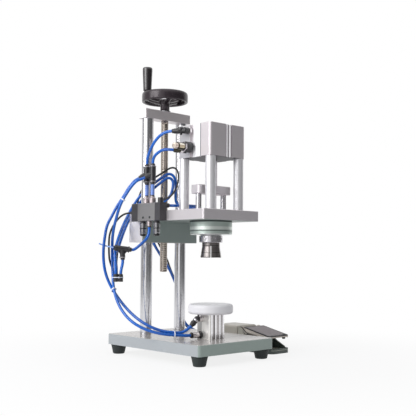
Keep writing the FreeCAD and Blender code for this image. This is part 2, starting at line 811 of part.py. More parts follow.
def valve_fittings():
    """Two push-in fittings on top for the outlets and one below for the supply."""
    shapes = []
    for place in outlet_places:
        nut_top_z = valve_top_z + push_fitting_height
        shapes.append(turned([(0, valve_top_z), (push_fitting_radius, valve_top_z),
                              (push_fitting_radius, nut_top_z - 1), (push_fitting_radius - 1, nut_top_z),
                              (collet_ring_radius, nut_top_z), (collet_ring_radius, outlet_top_z),
                              (0, outlet_top_z)], place))
    bottom_z = head_plate_bottom_z - supply_fitting_length
    shapes.append(turned([(0, bottom_z - collet_ring_height), (collet_ring_radius - 0.6, bottom_z - collet_ring_height),
                          (collet_ring_radius - 0.6, bottom_z), (supply_fitting_radius, bottom_z),
                          (supply_fitting_radius, head_plate_bottom_z), (0, head_plate_bottom_z)],
                         V(valve_port_x, supply_port_y, 0)))
    return shapes


supply_hose_start = V(valve_port_x, supply_port_y, head_plate_bottom_z - supply_fitting_length - collet_ring_height)


def silencers():
    """Two metal silencers screwed into the valve's exhausts, closed by a dark end."""
    shapes = []
    top_z = head_plate_bottom_z
    for y in (silencer_front_y, silencer_rear_y):
        shapes.append(turned([(0, top_z), (silencer_radius - 1.2, top_z), (silencer_radius - 1.2, top_z - 4),
                              (silencer_radius, top_z - 4), (silencer_radius, top_z - silencer_length + 7),
                              (silencer_radius - 0.6, top_z - silencer_length + 6),
                              (silencer_radius - 0.6, top_z - silencer_length + 2),
                              (silencer_radius - 2.5, top_z - silencer_length), (0, top_z - silencer_length)],
                             V(valve_centre_x, y, 0)))
    return shapes


pilot_front_start = V(carriage_left_x, pilot_front_y, head_plate_top_z + pilot_front_rise)
pilot_front_end = pilot_front_start + V(pilot_length, 0, 0)
pilot_top_centre = V(valve_centre_x, pilot_front_y + 1, valve_top_z + 5)
pilot_top_direction = V(1, 1, 0).normalize()
pilot_top_end = pilot_top_centre + pilot_top_direction * 13
pilot_rear_start = V(valve_centre_x, valve_rear_y, head_plate_top_z + pilot_rear_rise)
pilot_rear_end = pilot_rear_start + V(0, pilot_length, 0)


def pilot_fittings():
    """Small fittings for the pilot lines: two on the front cap and one on the rear cap."""
    side = turned_along([(0, 0), (pilot_radius, 0), (pilot_radius, pilot_length - 2), (pilot_radius - 1.2, pilot_length),
                         (0, pilot_length)], pilot_front_start, RIGHT)
    top = fused([upright(pilot_radius + 0.8, pilot_top_centre, valve_top_z, valve_top_z + pilot_top_height),
                 rod(pilot_radius - 0.6, pilot_top_centre, pilot_top_direction, 13)])
    rear = turned_along([(0, 0), (pilot_radius, 0), (pilot_radius, pilot_length - 2), (pilot_radius - 1.2, pilot_length),
                         (0, pilot_length)], pilot_rear_start, BACK)
    return [side, top, rear]


tee_arm_level = V(math.cos(math.radians(tee_arm_angle)), math.sin(math.radians(tee_arm_angle)), 0)
tee_arm = tee_arm_level * math.cos(math.radians(tee_arm_fall)) - UP * math.sin(math.radians(tee_arm_fall))
tee_arm_z = tee_bottom_z + tee_arm_rise


def hose_tees():
    """Two upright tees on the risers, each with a side arm for a lifting-cylinder hose."""
    shapes = []
    for place in outlet_places:
        body = turned([(0, tee_bottom_z), (collet_ring_radius, tee_bottom_z), (collet_ring_radius, tee_bottom_z + 3),
                       (tee_radius, tee_bottom_z + 3), (tee_radius, tee_top_z - 5), (collet_ring_radius, tee_top_z - 5),
                       (collet_ring_radius, tee_top_z), (0, tee_top_z)], place)
        start = V(place.x, place.y, tee_arm_z)
        arm = rod(tee_arm_radius, start, tee_arm, tee_arm_length - 3)
        end = rod(collet_ring_radius - 0.4, start, tee_arm, tee_arm_length)
        shapes.append(fused([body, arm, end]))
    return shapes


def risers():
    return [upright(riser_radius, place, outlet_top_z, tee_bottom_z) for place in outlet_places]


cylinder_face_x = -cylinder_width / 2
flow_centre = V(cylinder_face_x - flow_reach, upper_port_y, cylinder_top_z - upper_port_drop)
flow_direction = V(-0.51, 0.86, 0).normalize()
flow_end = flow_centre + flow_direction * flow_arm_length


def flow_control():
    """A swivelling flow-control elbow at the pressing cylinder's upper port, with its adjusting knob."""
    port = V(cylinder_face_x, flow_centre.y, flow_centre.z)
    nut = hexagon(port_hex_flats, port, V(-1, 0, 0), port_hex_length)
    banjo = rod(flow_body_radius, port, V(-1, 0, 0), flow_reach + 4)
    arm = rod(flow_body_radius - 0.7, flow_centre, flow_direction, flow_arm_length - 9)
    nose = rod(collet_ring_radius + 0.4, flow_centre, flow_direction, flow_arm_length - 3)
    ring = rod(collet_ring_radius - 0.4, flow_centre, flow_direction, flow_arm_length)
    knob_place = flow_centre + flow_direction * 11
    knob = upright(flow_knob_radius, knob_place, knob_place.z, knob_place.z + flow_body_radius + flow_knob_height)
    tail = upright(flow_knob_radius - 0.8, knob_place, knob_place.z - flow_body_radius - 2, knob_place.z)
    return fused([nut, banjo, arm, nose, ring, knob, tail])


exhaust_centre = V(cylinder_face_x, lower_port_y, cylinder_bottom_z + lower_port_rise)
exhaust_arm_direction = V(-0.78, 0.62, 0.08).normalize()
exhaust_arm_start = exhaust_centre + V(-9, 2, -exhaust_body_radius + exhaust_arm_radius - 2)
exhaust_arm_end = exhaust_arm_start + exhaust_arm_direction * exhaust_arm_reach


def exhaust_valve():
    """A quick-exhaust body at the lower port, with a nut, a barrel and a domed silencer on its outer end."""
    r = exhaust_body_radius
    body_end = exhaust_neck_length + exhaust_body_length
    nut_end = body_end + exhaust_nut_length
    barrel_end = nut_end + exhaust_barrel_length
    dome_end = barrel_end + exhaust_dome_length
    body = turned_along([(0, 0), (7, 0), (7, exhaust_neck_length), (r, exhaust_neck_length), (r, body_end - 2),
                         (r - 2, body_end), (exhaust_barrel_radius, body_end), (exhaust_barrel_radius, barrel_end),
                         (exhaust_dome_radius, barrel_end), (exhaust_dome_radius, dome_end - 3.5),
                         (exhaust_dome_radius - 3.5, dome_end), (0, dome_end)], exhaust_centre, V(-1, 0, 0))
    nut = hexagon(exhaust_nut_flats, exhaust_centre - V(body_end, 0, 0), V(-1, 0, 0), exhaust_nut_length)
    arm = rod(exhaust_arm_radius, exhaust_arm_start, exhaust_arm_direction, exhaust_arm_reach)
    return fused([body, nut, arm])


# Tee and coupling on the hoses

tee_axis = V(supply_tee_direction).normalize()
tee_right = supply_tee_centre - tee_axis * supply_tee_half_length
tee_left = supply_tee_centre + tee_axis * supply_tee_half_length
tee_down = V(0.07, 0, -1).normalize()
tee_branch_end = supply_tee_centre + tee_down * supply_tee_branch


def supply_tee():
    """A push-in tee whose open end is the machine's air inlet."""
    bar = rod(supply_tee_radius, tee_right + tee_axis * 3, tee_axis, 2 * supply_tee_half_length - 6)
    collar = rod(supply_tee_radius - 1, tee_right, tee_axis, 2 * supply_tee_half_length)
    branch = rod(supply_tee_radius - 0.2, supply_tee_centre, tee_down, supply_tee_branch - 3)
    ring = rod(supply_tee_radius - 1, supply_tee_centre, tee_down, supply_tee_branch)
    shape = fused([bar, collar, branch, ring])
    return shape.cut(rod(inlet_bore_radius, tee_left - tee_axis * inlet_bore_depth, tee_axis, inlet_bore_depth + 1))


coupling_top_z = coupling_floor_z + coupling_height


def hose_coupling():
    """Three sockets side by side that turn the air back up to two hoses."""
    sockets = [upright(coupling_radius, place, coupling_floor_z, coupling_top_z) for place in coupling_sockets]
    first, second, third = coupling_sockets
    bridges = []
    for start, end in ((first, second), (second, third), (third, first)):
        run = end - start
        bridges.append(rod(coupling_radius - 0.8, V(start.x, start.y, coupling_floor_z + 4.5), run, run.Length))
    return fused(sockets + bridges)


# Foot pedal

def pedal_base():
    """A tray with rising side walls, ears for the treadle's pin and a boss for the plunger."""
    top_z = floor_z + pedal_floor_thickness
    tray = block(pedal_left_x, pedal_right_x, pedal_front_y, pedal_rear_y, floor_z, top_z)
    front = [e for e in upright_edges(tray) if e.BoundBox.YMax < pedal_front_y + 1]
    tray = tray.makeFillet(pedal_floor_corner, front)
    pin_z = floor_z + pedal_pin_rise
    wall_outline = [(pedal_front_y + pedal_floor_corner, top_z - 1), (pedal_front_y + pedal_floor_corner, top_z + 4),
                    (6, floor_z + 27), (pedal_pin_y - 18, floor_z + 29), (pedal_pin_y - pedal_ear_radius, pin_z),
                    (pedal_pin_y + pedal_ear_radius, pin_z), (pedal_pin_y + pedal_ear_radius, top_z - 1)]
    parts = [tray]
    for x0 in (pedal_left_x, pedal_right_x - pedal_wall):
        parts.append(prism_across_x(wall_outline, x0, x0 + pedal_wall))
        parts.append(rod(pedal_ear_radius, V(x0, pedal_pin_y, pin_z), RIGHT, pedal_wall))
    parts.append(rod(pedal_pin_radius, V(pedal_left_x, pedal_pin_y, pin_z), RIGHT, pedal_width))
    centre = V(pedal_left_x + pedal_width / 2, plunger_y, 0)
    parts.append(upright(plunger_boss_radius, centre, top_z - 1, floor_z + plunger_boss_height))
    shape = fused(parts)
    return shape.cut(upright(plunger_radius + running_gap, centre, top_z, floor_z + plunger_boss_height + 1))


def pedal_body():
    """The pedal valve's housing: a rounded hood, a nose between the treadle's arms and three hose ports."""
    low_z = floor_z + pedal_floor_thickness
    high_z = low_z + pedal_body_height
    shape = block(pedal_left_x, pedal_right_x, pedal_body_front_y, pedal_rear_y, low_z, high_z)
    rear = [e for e in upright_edges(shape) if e.BoundBox.YMin > pedal_rear_y - 1]
    shape = shape.makeFillet(pedal_body_round + 1, rear)
    shape = shape.makeFillet(pedal_body_round - 2, edges_at_height(shape, high_z))
    side = pedal_wall + 2 * pedal_side_gap + treadle_arm_width
    nose = block(pedal_left_x + side, pedal_right_x - side, pedal_pin_y - 10, pedal_body_front_y + 1, low_z, high_z - 4)
    pin_z = floor_z + pedal_pin_rise
    nose = nose.cut(rod(pedal_pin_radius + rest_gap, V(pedal_left_x, pedal_pin_y, pin_z), RIGHT, pedal_width))
    ports = [rod(pedal_port_radius, V(x, pedal_rear_y - 1, floor_z + pedal_port_rise), BACK, pedal_port_length + 1)
             for x in pedal_ports_x]
    return fused([shape, nose] + ports)


def treadle_underside(y):
    """Height of the treadle's lower face at a distance along the pedal."""
    slope = (treadle_back_rise - treadle_front_rise) / (treadle_back_y - pedal_front_y)
    return floor_z + treadle_front_rise - treadle_thickness + slope * (y - pedal_front_y)


def pedal_treadle():
    """A sloping plate with side skirts, carried by two arms on the pin."""
    front_z, back_z = treadle_underside(pedal_front_y), treadle_underside(treadle_back_y)
    plate = prism_across_x([(pedal_front_y, front_z), (treadle_back_y, back_z),
                            (treadle_back_y, back_z + treadle_thickness),
                            (pedal_front_y, front_z + treadle_thickness)], pedal_left_x, pedal_right_x)
    pin_z = floor_z + pedal_pin_rise
    pin = V(0, pedal_pin_y, pin_z)
    inner = pedal_left_x + pedal_wall + pedal_side_gap
    parts = [plate]
    for x0 in (inner, pedal_right_x - pedal_wall - pedal_side_gap - treadle_arm_width):
        arm = prism_across_x([(treadle_back_y - 22, treadle_underside(treadle_back_y - 22) + 1),
                              (pedal_pin_y - 2, pin_z - pedal_ear_radius + 1),
                              (pedal_pin_y, pin_z + pedal_ear_radius - 1),
                              (treadle_back_y - 2, back_z + treadle_thickness - 1)], x0, x0 + treadle_arm_width)
        parts += [arm, rod(pedal_ear_radius - 1, V(x0, pin.y, pin.z), RIGHT, treadle_arm_width)]
    skirt_z = treadle_skirt
    for x0 in (pedal_left_x, pedal_right_x - 2):
        parts.append(prism_across_x([(pedal_front_y, front_z - 1), (pedal_front_y, front_z + 2),
                                     (treadle_back_y, back_z + 2), (treadle_back_y, back_z - skirt_z)], x0, x0 + 2))
    shape = fused(parts)
    return shape.cut(rod(pedal_pin_radius + running_gap, V(pedal_left_x, pin.y, pin.z), RIGHT, pedal_width))


def pedal_plunger():
    """The domed plunger that the treadle pushes down."""
    bottom_z = floor_z + pedal_floor_thickness + 10
    dome = 2.5
    top_z = treadle_underside(plunger_y) - plunger_gap
    return turned([(0, bottom_z), (plunger_radius, bottom_z), (plunger_radius, top_z - dome),
                   (plunger_radius * 0.75, top_z - dome * 0.4), (0, top_z)],
                  V(pedal_left_x + pedal_width / 2, plunger_y, 0))


# Hoses: straight runs joined by tangent arcs

def hose(name, points, radius):
    """Sweep a round tube along the route and report its tightest bend and its length."""
    edges = []
    last = points[0]
    tightest = 1e9
    for before, corner, after in zip(points, points[1:], points[2:]):
        into = (corner - before).normalize()
        out = (after - corner).normalize()
        turn = into.getAngle(out)
        reach = 0.45 * min((corner - before).Length, (after - corner).Length)
        bend = reach / math.tan(turn / 2)
        if bend < tightest:
            tightest, place = bend, corner
        start, end = corner - into * reach, corner + out * reach
        centre_way = (out - into).normalize()
        middle = corner + centre_way * (bend / math.cos(turn / 2) - bend)
        edges.append(Part.LineSegment(last, start).toShape())
        edges.append(Part.Arc(start, middle, end).toShape())
        last = end
    edges.append(Part.LineSegment(last, points[-1]).toShape())
    path = Part.Wire(edges)
    ring = Part.Wire(Part.makeCircle(radius, points[0], points[1] - points[0]))
    tube = path.makePipeShell([ring], True, False)
    share = tube.Volume / (math.pi * radius ** 2 * path.Length)
    print("%-20s tightest bend %5.1f near (%.0f, %.0f, %.0f), length %6.1f, volume share %.4f"
          % (name, tightest, place.x, place.y, place.z, path.Length, share))
    save(name, tube)


def tee_arm_end(index):
    """The end of a tee's side arm."""
    place = outlet_places[index]
    return V(place.x, place.y, tee_arm_z) + tee_arm * tee_arm_length


def hoses():
    save("hose_risers", *risers())
    front_tee = V(outlet_places[0].x, outlet_places[0].y, tee_top_z)
    rear_tee = V(outlet_places[1].x, outlet_places[1].y, tee_top_z)
    hose("hose_cylinder_top", [flow_end, flow_end + flow_direction * 10, V(-83.1, 56.2, 348.7),
                               V(-86.6, 69.5, 340.7), V(-88, 84, 327.5), V(-88, 96, 311),
                               rear_tee + UP * 11, rear_tee], air_hose_radius)
    hose("hose_cylinder_bottom", [exhaust_arm_end, exhaust_arm_end + exhaust_arm_direction * 8,
                                  V(-88.5, 41, 312.9), V(-90.2, 52, 312), V(-89.6, 62.8, 309.2),
                                  V(-88.3, 74.2, 305.1), V(-88, 79.9, 300), front_tee + UP * 7, front_tee],
         air_hose_radius)
    hose("hose_lift_outer", [tee_arm_end(1), tee_arm_end(1) + tee_arm * 10, V(-111.5, 123, 246),
                             V(-117.5, 128, 235.5), V(-122, 132.5, 224), V(-128.5, 137, 211.5),
                             V(-134.5, 144, 198), V(-141.5, 150, 179), V(-149.5, 156.5, 160),
                             V(-153.5, 157.5, 136), V(-155.5, 159, 112), V(-155.5, 158.5, 88),
                             V(-153.5, 155.5, 65), V(-145, 154.5, 43.5), V(-136.5, 147, 23),
                             V(-132, 123, -1), V(-130.5, 93, -20.5), V(-123, 69, -35.5), V(-110, 50, -46.5),
                             V(-95, 34, -53), V(-80, 22.5, -55), V(-64, 17.5, -56.5),
                             lift_upper_end + lift_arm_direction * 12, lift_upper_end], air_hose_radius)
    hose("hose_lift_inner", [tee_arm_end(0), tee_arm_end(0) + tee_arm * 10, V(-112.5, 103, 252.5),
                             V(-118, 110, 244.5), V(-122.5, 117, 234), V(-126.5, 123.5, 222.5),
                             V(-130.5, 129.5, 211), V(-135, 134.5, 195.5), V(-136.5, 141, 177),
                             V(-138.5, 152, 157), V(-141.5, 155, 133), V(-141.5, 155.5, 109),
                             V(-140.5, 154.5, 86), V(-138.5, 150, 59), V(-143, 140, 33.5), V(-146.5, 124, 8),
                             V(-147, 104, -14), V(-144, 81, -31.5), V(-133, 61, -44.5), V(-115, 42, -54),
                             V(-94.5, 25, -58.5), V(-72, 12, -60), lift_lower_end + V(-9.5, 0, 0),
                             lift_lower_end], air_hose_radius)
    hose("hose_supply", [supply_hose_start, V(-88, 92.5, 149), V(-88, 92.8, 138.3), V(-90.3, 93.9, 129),
                         V(-94.7, 96.4, 120.9), V(-100.9, 100.1, 114.5), V(-108.4, 104.6, 110.2),
                         tee_right - tee_axis * 5, tee_right], air_hose_radius)
    first, second, third = [V(p.x, p.y, coupling_top_z) for p in coupling_sockets]
    hose("hose_branch", [tee_branch_end, tee_branch_end + tee_down * 8, first + UP * 8, first], air_hose_radius)
    hose("hose_control", [second, V(-149, 124, 70), V(-148.5, 127, 84), V(-146, 132, 100),
                          V(-137.5, 140, 117), V(-125, 148.5, 135), V(-108.5, 160, 154.5),
                          V(-87.5, 174.5, 174), V(-68, 185, 193.5), V(-54, 187.5, 211), V(-41.5, 187.5, 226),
                          V(-35, 178, 238), V(-32, 163.5, 247.5), V(-28, 151, 256), V(-22, 142.5, 263.5),
                          V(-12, 138, 271.5), V(-2.2, 134.6, 277.3), V(4.3, 129.6, 275.5),
                          V(8.3, 125.6, 268.5), V(9.8, 123.8, 259), V(9.5, 122.8, 247), V(8, 122, 233),
                          V(8, 121.5, 218.4), V(10.3, 120.1, 211.8), V(14.6, 117.4, 206.7),
                          V(20.2, 113.9, 204), V(29, 108, 203.5), V(37, 98.5, 203.3), V(40.5, 87, 203.3),
                          V(37.5, 76, 203.3), V(27, 67.5, 203.3), V(10, 62, 203.3), V(-11, 59, 203),
                          V(-34, 57.5, 202), V(-55, pilot_front_y, 200.6), pilot_front_end], air_hose_radius)
    port_z = floor_z + pedal_port_rise
    ends = [V(x, pedal_rear_y + pedal_port_length, port_z) for x in pedal_ports_x]
    hose("hose_pedal_feed", [third, V(-141.5, 131.5, 70), V(-141, 135, 84), V(-139, 141, 100),
                             V(-122, 152, 114), V(-109.5, 160, 132), V(-93.5, 171, 150.5), V(-75, 183, 170),
                             V(-58, 190, 188.5), V(-41.5, 194, 205.5), V(-31, 191, 220.5),
                             V(-27, 179.5, 232), V(-28.5, 161.5, 240.5), V(-28.5, 146.5, 247.5),
                             V(-24, 137, 255), V(-18, 131, 262), V(-11, 127, 267), V(-4.5, 123, 266),
                             V(-0.5, 120.5, 259.5), V(-2, 119, 249), V(-3.5, 119.5, 239.5),
                             V(-6, 122, 228.5), V(-10, 128.5, 220), V(-14, 137.5, 214), V(-16.5, 149.5, 209),
                             V(-17.5, 163, 204.5), V(-18.5, 175, 198.5), V(-20, 182.5, 189),
                             V(-21, 185.5, 176.5), V(-16.5, 188.5, 161), V(-8.5, 189, 144.5),
                             V(0.5, 187.5, 126.5), V(8, 184.5, 111), V(28, 185, 89.5), V(48.5, 186.5, 65),
                             V(65, 188, 38), V(78, 189.5, 15), V(86, 191.5, -8), V(90, 193, -29),
                             V(94.5, 193.5, -47), V(102.5, 192.5, -60), V(113.5, 189.5, -69),
                             V(126, 184, -76.5), V(139, 177.5, -82), V(150, 172, -86), V(157, 164.5, -88),
                             ends[0] + BACK * 9.5, ends[0]], air_hose_radius)
    hose("hose_pilot_front", [pilot_top_end, pilot_top_end + pilot_top_direction * 11, V(-54.5, 80, 216),
                              V(-35, 88, 223), V(-17, 96, 234.5), V(-3, 104, 249), V(7, 111, 263.5),
                              V(11.5, 116, 276), V(12, 121, 285), V(8, 125.5, 290.5), V(1, 130, 290.5),
                              V(-7, 134, 285.5), V(-15.5, 139, 278.5), V(-24.5, 145, 271.5),
                              V(-32, 155, 264), V(-34.5, 171, 254.5), V(-35, 187, 242.5), V(-36, 196, 227.5),
                              V(-36.5, 199.5, 210.5), V(-32.5, 201, 192), V(-23.5, 201, 172),
                              V(-11, 200.5, 151.5), V(4, 200, 131), V(20, 199.5, 110), V(37, 199, 88.5),
                              V(54, 199, 67), V(76, 199.5, 46), V(86, 200, 25), V(92, 200, 4),
                              V(95.8, 200, -16), V(98, 200, -36), V(102, 199.5, -52), V(109.5, 197.5, -64.5),
                              V(121, 194, -73.5), V(135, 189.5, -80.5), V(149, 184.5, -85.5),
                              V(161, 178, -88), V(169.5, 169, -88), ends[1] + BACK * 11.5, ends[1]],
         pilot_hose_radius)
    hose("hose_pilot_rear", [pilot_rear_end, pilot_rear_end + BACK * 11, V(-91.5, 172.5, 186.7),
                             V(-101.5, 176, 180), V(-117.5, 167, 168.5), V(-129, 163, 154),
                             V(-134.5, 163, 138), V(-137, 163.5, 121), V(-135.5, 163.5, 103.5),
                             V(-132, 162, 86), V(-130.5, 155.5, 68), V(-129, 152.1, 51),
                             V(-125.2, 156.1, 44), V(-119.7, 162, 44), V(-116, 166, 51), V(-115, 167, 62),
                             V(-115.3, 168, 77), V(-113.5, 168.5, 96), V(-109, 171, 117.5),
                             V(-98.5, 177, 140), V(-85, 185, 159), V(-67.5, 195.5, 176.5),
                             V(-49, 203, 191.5), V(-30, 207, 199), V(-12, 209, 196), V(2, 209.5, 183),
                             V(12.5, 209, 162.5), V(24.5, 208.5, 137.5), V(40, 207.5, 112.5),
                             V(57.5, 207, 89), V(66, 207, 69), V(79, 207, 47), V(89, 207, 24),
                             V(95.5, 207.5, 1), V(99.5, 208, -20), V(103, 208, -39), V(108, 207, -55),
                             V(116, 205.5, -67.5), V(128, 202.5, -76.5), V(143, 199, -83), V(159, 195, -87),
                             V(173, 188.5, -88.5), V(182.5, 178, -88.3), ends[2] + BACK * 17, ends[2]],
         pilot_hose_radius)


def build():
    os.makedirs("parts", exist_ok=True)
    save("base_plate", base_plate())
    save("base_feet", *feet())
    save("columns", *columns())
    save("crossbar", crossbar())
    save("thrust_bush", thrust_bush())
    save("lead_screw", lead_screw())
    save("handwheel", handwheel())
    save("handle_spindle", handle_spindle())
    save("handle_grip", handle_grip())
    save("carriage_block", carriage_block())
    save("column_bushes", *column_bushes())
    save("screw_nut", screw_nut())
    save("head_plate", head_plate())
    save("head_posts", *head_posts())
    save("cylinder_barrel", cylinder_barrel())
    save("cylinder_caps", *cylinder_caps())
    save("piston", piston())
    save("piston_rod", piston_rod())
    save("yoke", yoke())
    save("push_rods", *push_rods())
    save("guide_bushes", *guide_bushes())
    save("closing_disc", closing_disc())
    save("closing_ring", closing_ring())
    save("collet_core", collet_core())
    for index in range(jaw_count):
        save("collet_jaw_%d" % (index + 1), collet_jaw(index))
    save("lift_barrel", lift_barrel())
    save("lift_piston", lift_piston())
    save("platen", platen())
    save("lift_fittings", *lift_fittings())
    save("valve_body", valve_body())
    save("valve_spool", valve_spool())
    save("valve_end_caps", *valve_end_caps())
    save("valve_fittings", *valve_fittings())
    save("silencers", *silencers())
    save("pilot_fittings", *pilot_fittings())
    save("hose_tees", *hose_tees())
    save("flow_control", flow_control())
    save("exhaust_valve", exhaust_valve())
    save("supply_tee", supply_tee())
    save("hose_coupling", hose_coupling())
    save("pedal_base", pedal_base())
    save("pedal_body", pedal_body())
    save("pedal_treadle", pedal_treadle())
    save("pedal_plunger", pedal_plunger())
    hoses()


build()
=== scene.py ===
import bpy
import math
import numpy as np
from mathutils import Matrix, Vector


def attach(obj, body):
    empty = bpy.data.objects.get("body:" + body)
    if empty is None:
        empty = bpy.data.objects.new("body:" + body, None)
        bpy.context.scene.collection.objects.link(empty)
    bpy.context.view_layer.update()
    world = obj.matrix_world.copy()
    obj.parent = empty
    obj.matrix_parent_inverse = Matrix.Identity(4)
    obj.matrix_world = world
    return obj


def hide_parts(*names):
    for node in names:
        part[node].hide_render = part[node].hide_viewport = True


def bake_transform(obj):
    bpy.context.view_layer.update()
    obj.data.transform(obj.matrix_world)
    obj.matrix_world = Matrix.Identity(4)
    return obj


# Pneumatic capping machine. Metres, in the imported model's own frame: X to the machine's right, Y to its
# back, Z up, and the origin at the centre of the bottle rest's top face.

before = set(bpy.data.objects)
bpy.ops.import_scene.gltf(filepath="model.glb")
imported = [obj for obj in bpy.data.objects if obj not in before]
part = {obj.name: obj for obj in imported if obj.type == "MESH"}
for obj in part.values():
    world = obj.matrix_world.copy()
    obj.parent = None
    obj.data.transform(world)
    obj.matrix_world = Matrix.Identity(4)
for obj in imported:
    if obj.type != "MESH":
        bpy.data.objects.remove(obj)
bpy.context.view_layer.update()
MM = 0.001
X, Y, Z = range(3)

# In millimetres: the Y of the lead screw's axis, which is at X 0, and the height that the feet stand on
SCREW_Y = 151.5
BENCH_Z = -112


# Shader arithmetic

class Signal:
    """One output socket of a finish. Sums and products written on it add Math nodes."""

    def __init__(self, finish, socket):
        self.finish = finish
        self.socket = socket

    def math(self, operation, *terms):
        return self.finish.node("ShaderNodeMath", {"operation": operation}, dict(enumerate(terms)))

    def __add__(self, other):
        return self.math("ADD", self, other)

    def __sub__(self, other):
        return self.math("SUBTRACT", self, other)

    def __rsub__(self, other):
        return self.math("SUBTRACT", other, self)

    def __mul__(self, other):
        return self.math("MULTIPLY", self, other)

    __radd__ = __add__
    __rmul__ = __mul__

    def above(self, level):
        return self.math("GREATER_THAN", self, level)

    def below(self, level):
        return self.math("LESS_THAN", self, level)

    def within(self, low, high):
        return self.above(low) * self.below(high)

    def at_most(self, level):
        return self.math("MINIMUM", self, level)

    def ease(self, low, high):
        """0 under low, 1 over high, and smooth between them."""
        return self.finish.node("ShaderNodeMapRange", {"interpolation_type": "SMOOTHSTEP"},
                                {"Value": self, "From Min": low, "From Max": high})


class Finish:
    """A material in the making, or the world, with its first shader and any node it needs."""

    def __init__(self, name, made=None):
        self.material = made or bpy.data.materials.new(name)
        self.material.use_nodes = True
        self.tree = self.material.node_tree
        self.shader = self.tree.nodes["Background" if made else "Principled BSDF"]
        self.end = self.tree.nodes["World Output" if made else "Material Output"]

    def node(self, kind, settings=None, values=None, out=0):
        """Adds a node: its settings first, then the values or signals of its sockets."""
        made = self.tree.nodes.new(kind)
        for key, setting in (settings or {}).items():
            setattr(made, key, setting)
        for key, value in (values or {}).items():
            if isinstance(value, Signal):
                self.tree.links.new(value.socket, made.inputs[key])
            else:
                made.inputs[key].default_value = value
        return Signal(self, made.outputs[out])

    def place(self, stretch=(1, 1, 1)):
        """Object coordinates, stretched along the axes."""
        spot = self.node("ShaderNodeTexCoord", out="Object")
        return self.node("ShaderNodeMapping", {}, {"Vector": spot, "Scale": stretch})

    def axis(self, which):
        """One Object coordinate, X, Y or Z, in metres."""
        spot = self.node("ShaderNodeTexCoord", out="Object")
        return self.node("ShaderNodeSeparateXYZ", {}, {"Vector": spot}, which)

    def noise(self, scale, detail=2.0, stretch=(1, 1, 1)):
        return self.node("ShaderNodeTexNoise", {}, {"Vector": self.place(stretch), "Scale": scale,
                                                     "Detail": detail, "Roughness": 0.5})

    def blend(self, mask, first, second):
        """The first colour where the mask is 0 and the second where it is 1. Of a Mix node's sockets, 6 and
        7 take the two colours, and 2 gives the mixed one."""
        return self.node("ShaderNodeMix", {"data_type": "RGBA"}, {0: mask, 6: first, 7: second}, 2)

    def bump(self, height, strength, distance):
        normal = self.node("ShaderNodeBump", {}, {"Height": height, "Strength": strength,
                                                   "Distance": distance})
        self.set(Normal=normal)

    def set(self, **values):
        """Sets or links the Principled shader's sockets, written with _ for a space."""
        for key, value in values.items():
            socket = self.shader.inputs[key.replace("_", " ")]
            if isinstance(value, Signal):
                self.tree.links.new(value.socket, socket)
            else:
                socket.default_value = value
        return self


def rgb(red, green, blue):
    """A colour given as 0 to 255 on screen, as the linear colour that a shader takes."""
    shown = np.array([red, green, blue]) / 255
    linear = np.where(shown <= 0.04045, shown / 12.92, ((shown + 0.055) / 1.055) ** 2.4)
    return (*linear.tolist(), 1)


# Finishes

def over_zones(make, start, zones, which):
    """One value of a piece that is made of several stuffs, with painted light and shade on some pieces. A
    zone is a dict of axis to (low, high) in millimetres, then its colour, metal share and roughness, and
    which picks one of the
    three: 0, 1 or 2. Some zones hold another stuff, and others hold painted highlight and painted shade."""
    value = start
    for ranges, *stuff_and_painted_light in zones:
        mask = 1.0
        for axis, (low, high) in ranges.items():
            mask = make.axis(axis).within(low * MM, high * MM) * mask
        value = make.blend(mask, value, stuff_and_painted_light[0]) if which == 0 else mask * stuff_and_painted_light[which] + (1 - mask) * value
    return value


def dress(make, zones, colour, metal, roughness, **others):
    """Sets the shader's colour, metal share and roughness, with those of the zones over them."""
    make.set(Base_Color=over_zones(make, colour, zones, 0), Metallic=over_zones(make, metal, zones, 1),
             Roughness=over_zones(make, roughness, zones, 2), **others)


def enamel(name, colour, shade, gloss=0.32, zones=()):
    """Stove enamel over metal: a faint cloud in the colour, a fine orange peel and a clear skin."""
    make = Finish(name)
    cloud = make.blend(make.noise(9, 3).ease(0.3, 0.7), colour, shade)
    dress(make, zones, cloud, 0.0, make.noise(60, 2) * 0.12 + gloss, Coat_Weight=0.25, Coat_Roughness=0.2)
    make.bump(make.noise(900, 2), 0.12, 0.0004)
    return make.material


def satin_metal(name, colour, shade, rough=0.34, along=(1, 1, 12), metallic=1.0, zones=()):
    """Cut or anodised metal: fine parallel tool lines in its roughness and in a very low bump."""
    make = Finish(name)
    lines = make.noise(420, 3, along)
    cloud = make.blend(make.noise(14, 2), colour, shade)
    dress(make, zones, cloud, metallic, lines * 0.16 + (rough - 0.08))
    make.bump(lines, 0.08, 0.0003)
    return make.material


def polished(name, colour, rough=0.08, spread=0.07, zones=(), metallic=1.0):
    """Ground and polished metal: faint rings of uneven roughness round an upright bar."""
    make = Finish(name)
    rings = make.noise(90, 3, (0.3, 0.3, 3))
    cloud = make.blend(rings, colour, tuple(0.9 * c for c in colour[:3]) + (1,))
    dress(make, zones, cloud, metallic, rings * spread + rough)
    return make.material


def moulded(name, colour, shade, rough=0.42, grain=1400, coat=0.0, zones=()):
    """Moulded plastic or rubber: a fine grain in its bump and a slightly uneven sheen."""
    make = Finish(name)
    speck = make.noise(grain, 2)
    cloud = make.blend(make.noise(40, 2).ease(0.3, 0.7), colour, shade)
    dress(make, zones, cloud, 0.0, speck * 0.16 + rough, Coat_Weight=coat, Coat_Roughness=0.12)
    make.bump(speck, 0.15, 0.0003)
    return make.material


def air_hose(name, colour, shade, rough=0.2, zones=()):
    """Polyurethane hose: a glossy tinted wall whose colour drifts a little along its length."""
    make = Finish(name)
    drift = make.blend(make.noise(22, 2).ease(0.25, 0.75), colour, shade)
    make.set(Base_Color=over_zones(make, drift, zones, 0), Metallic=0.0,
             Roughness=make.noise(150, 2) * 0.14 + rough, Coat_Weight=0.2, Coat_Roughness=0.08)
    return make.material


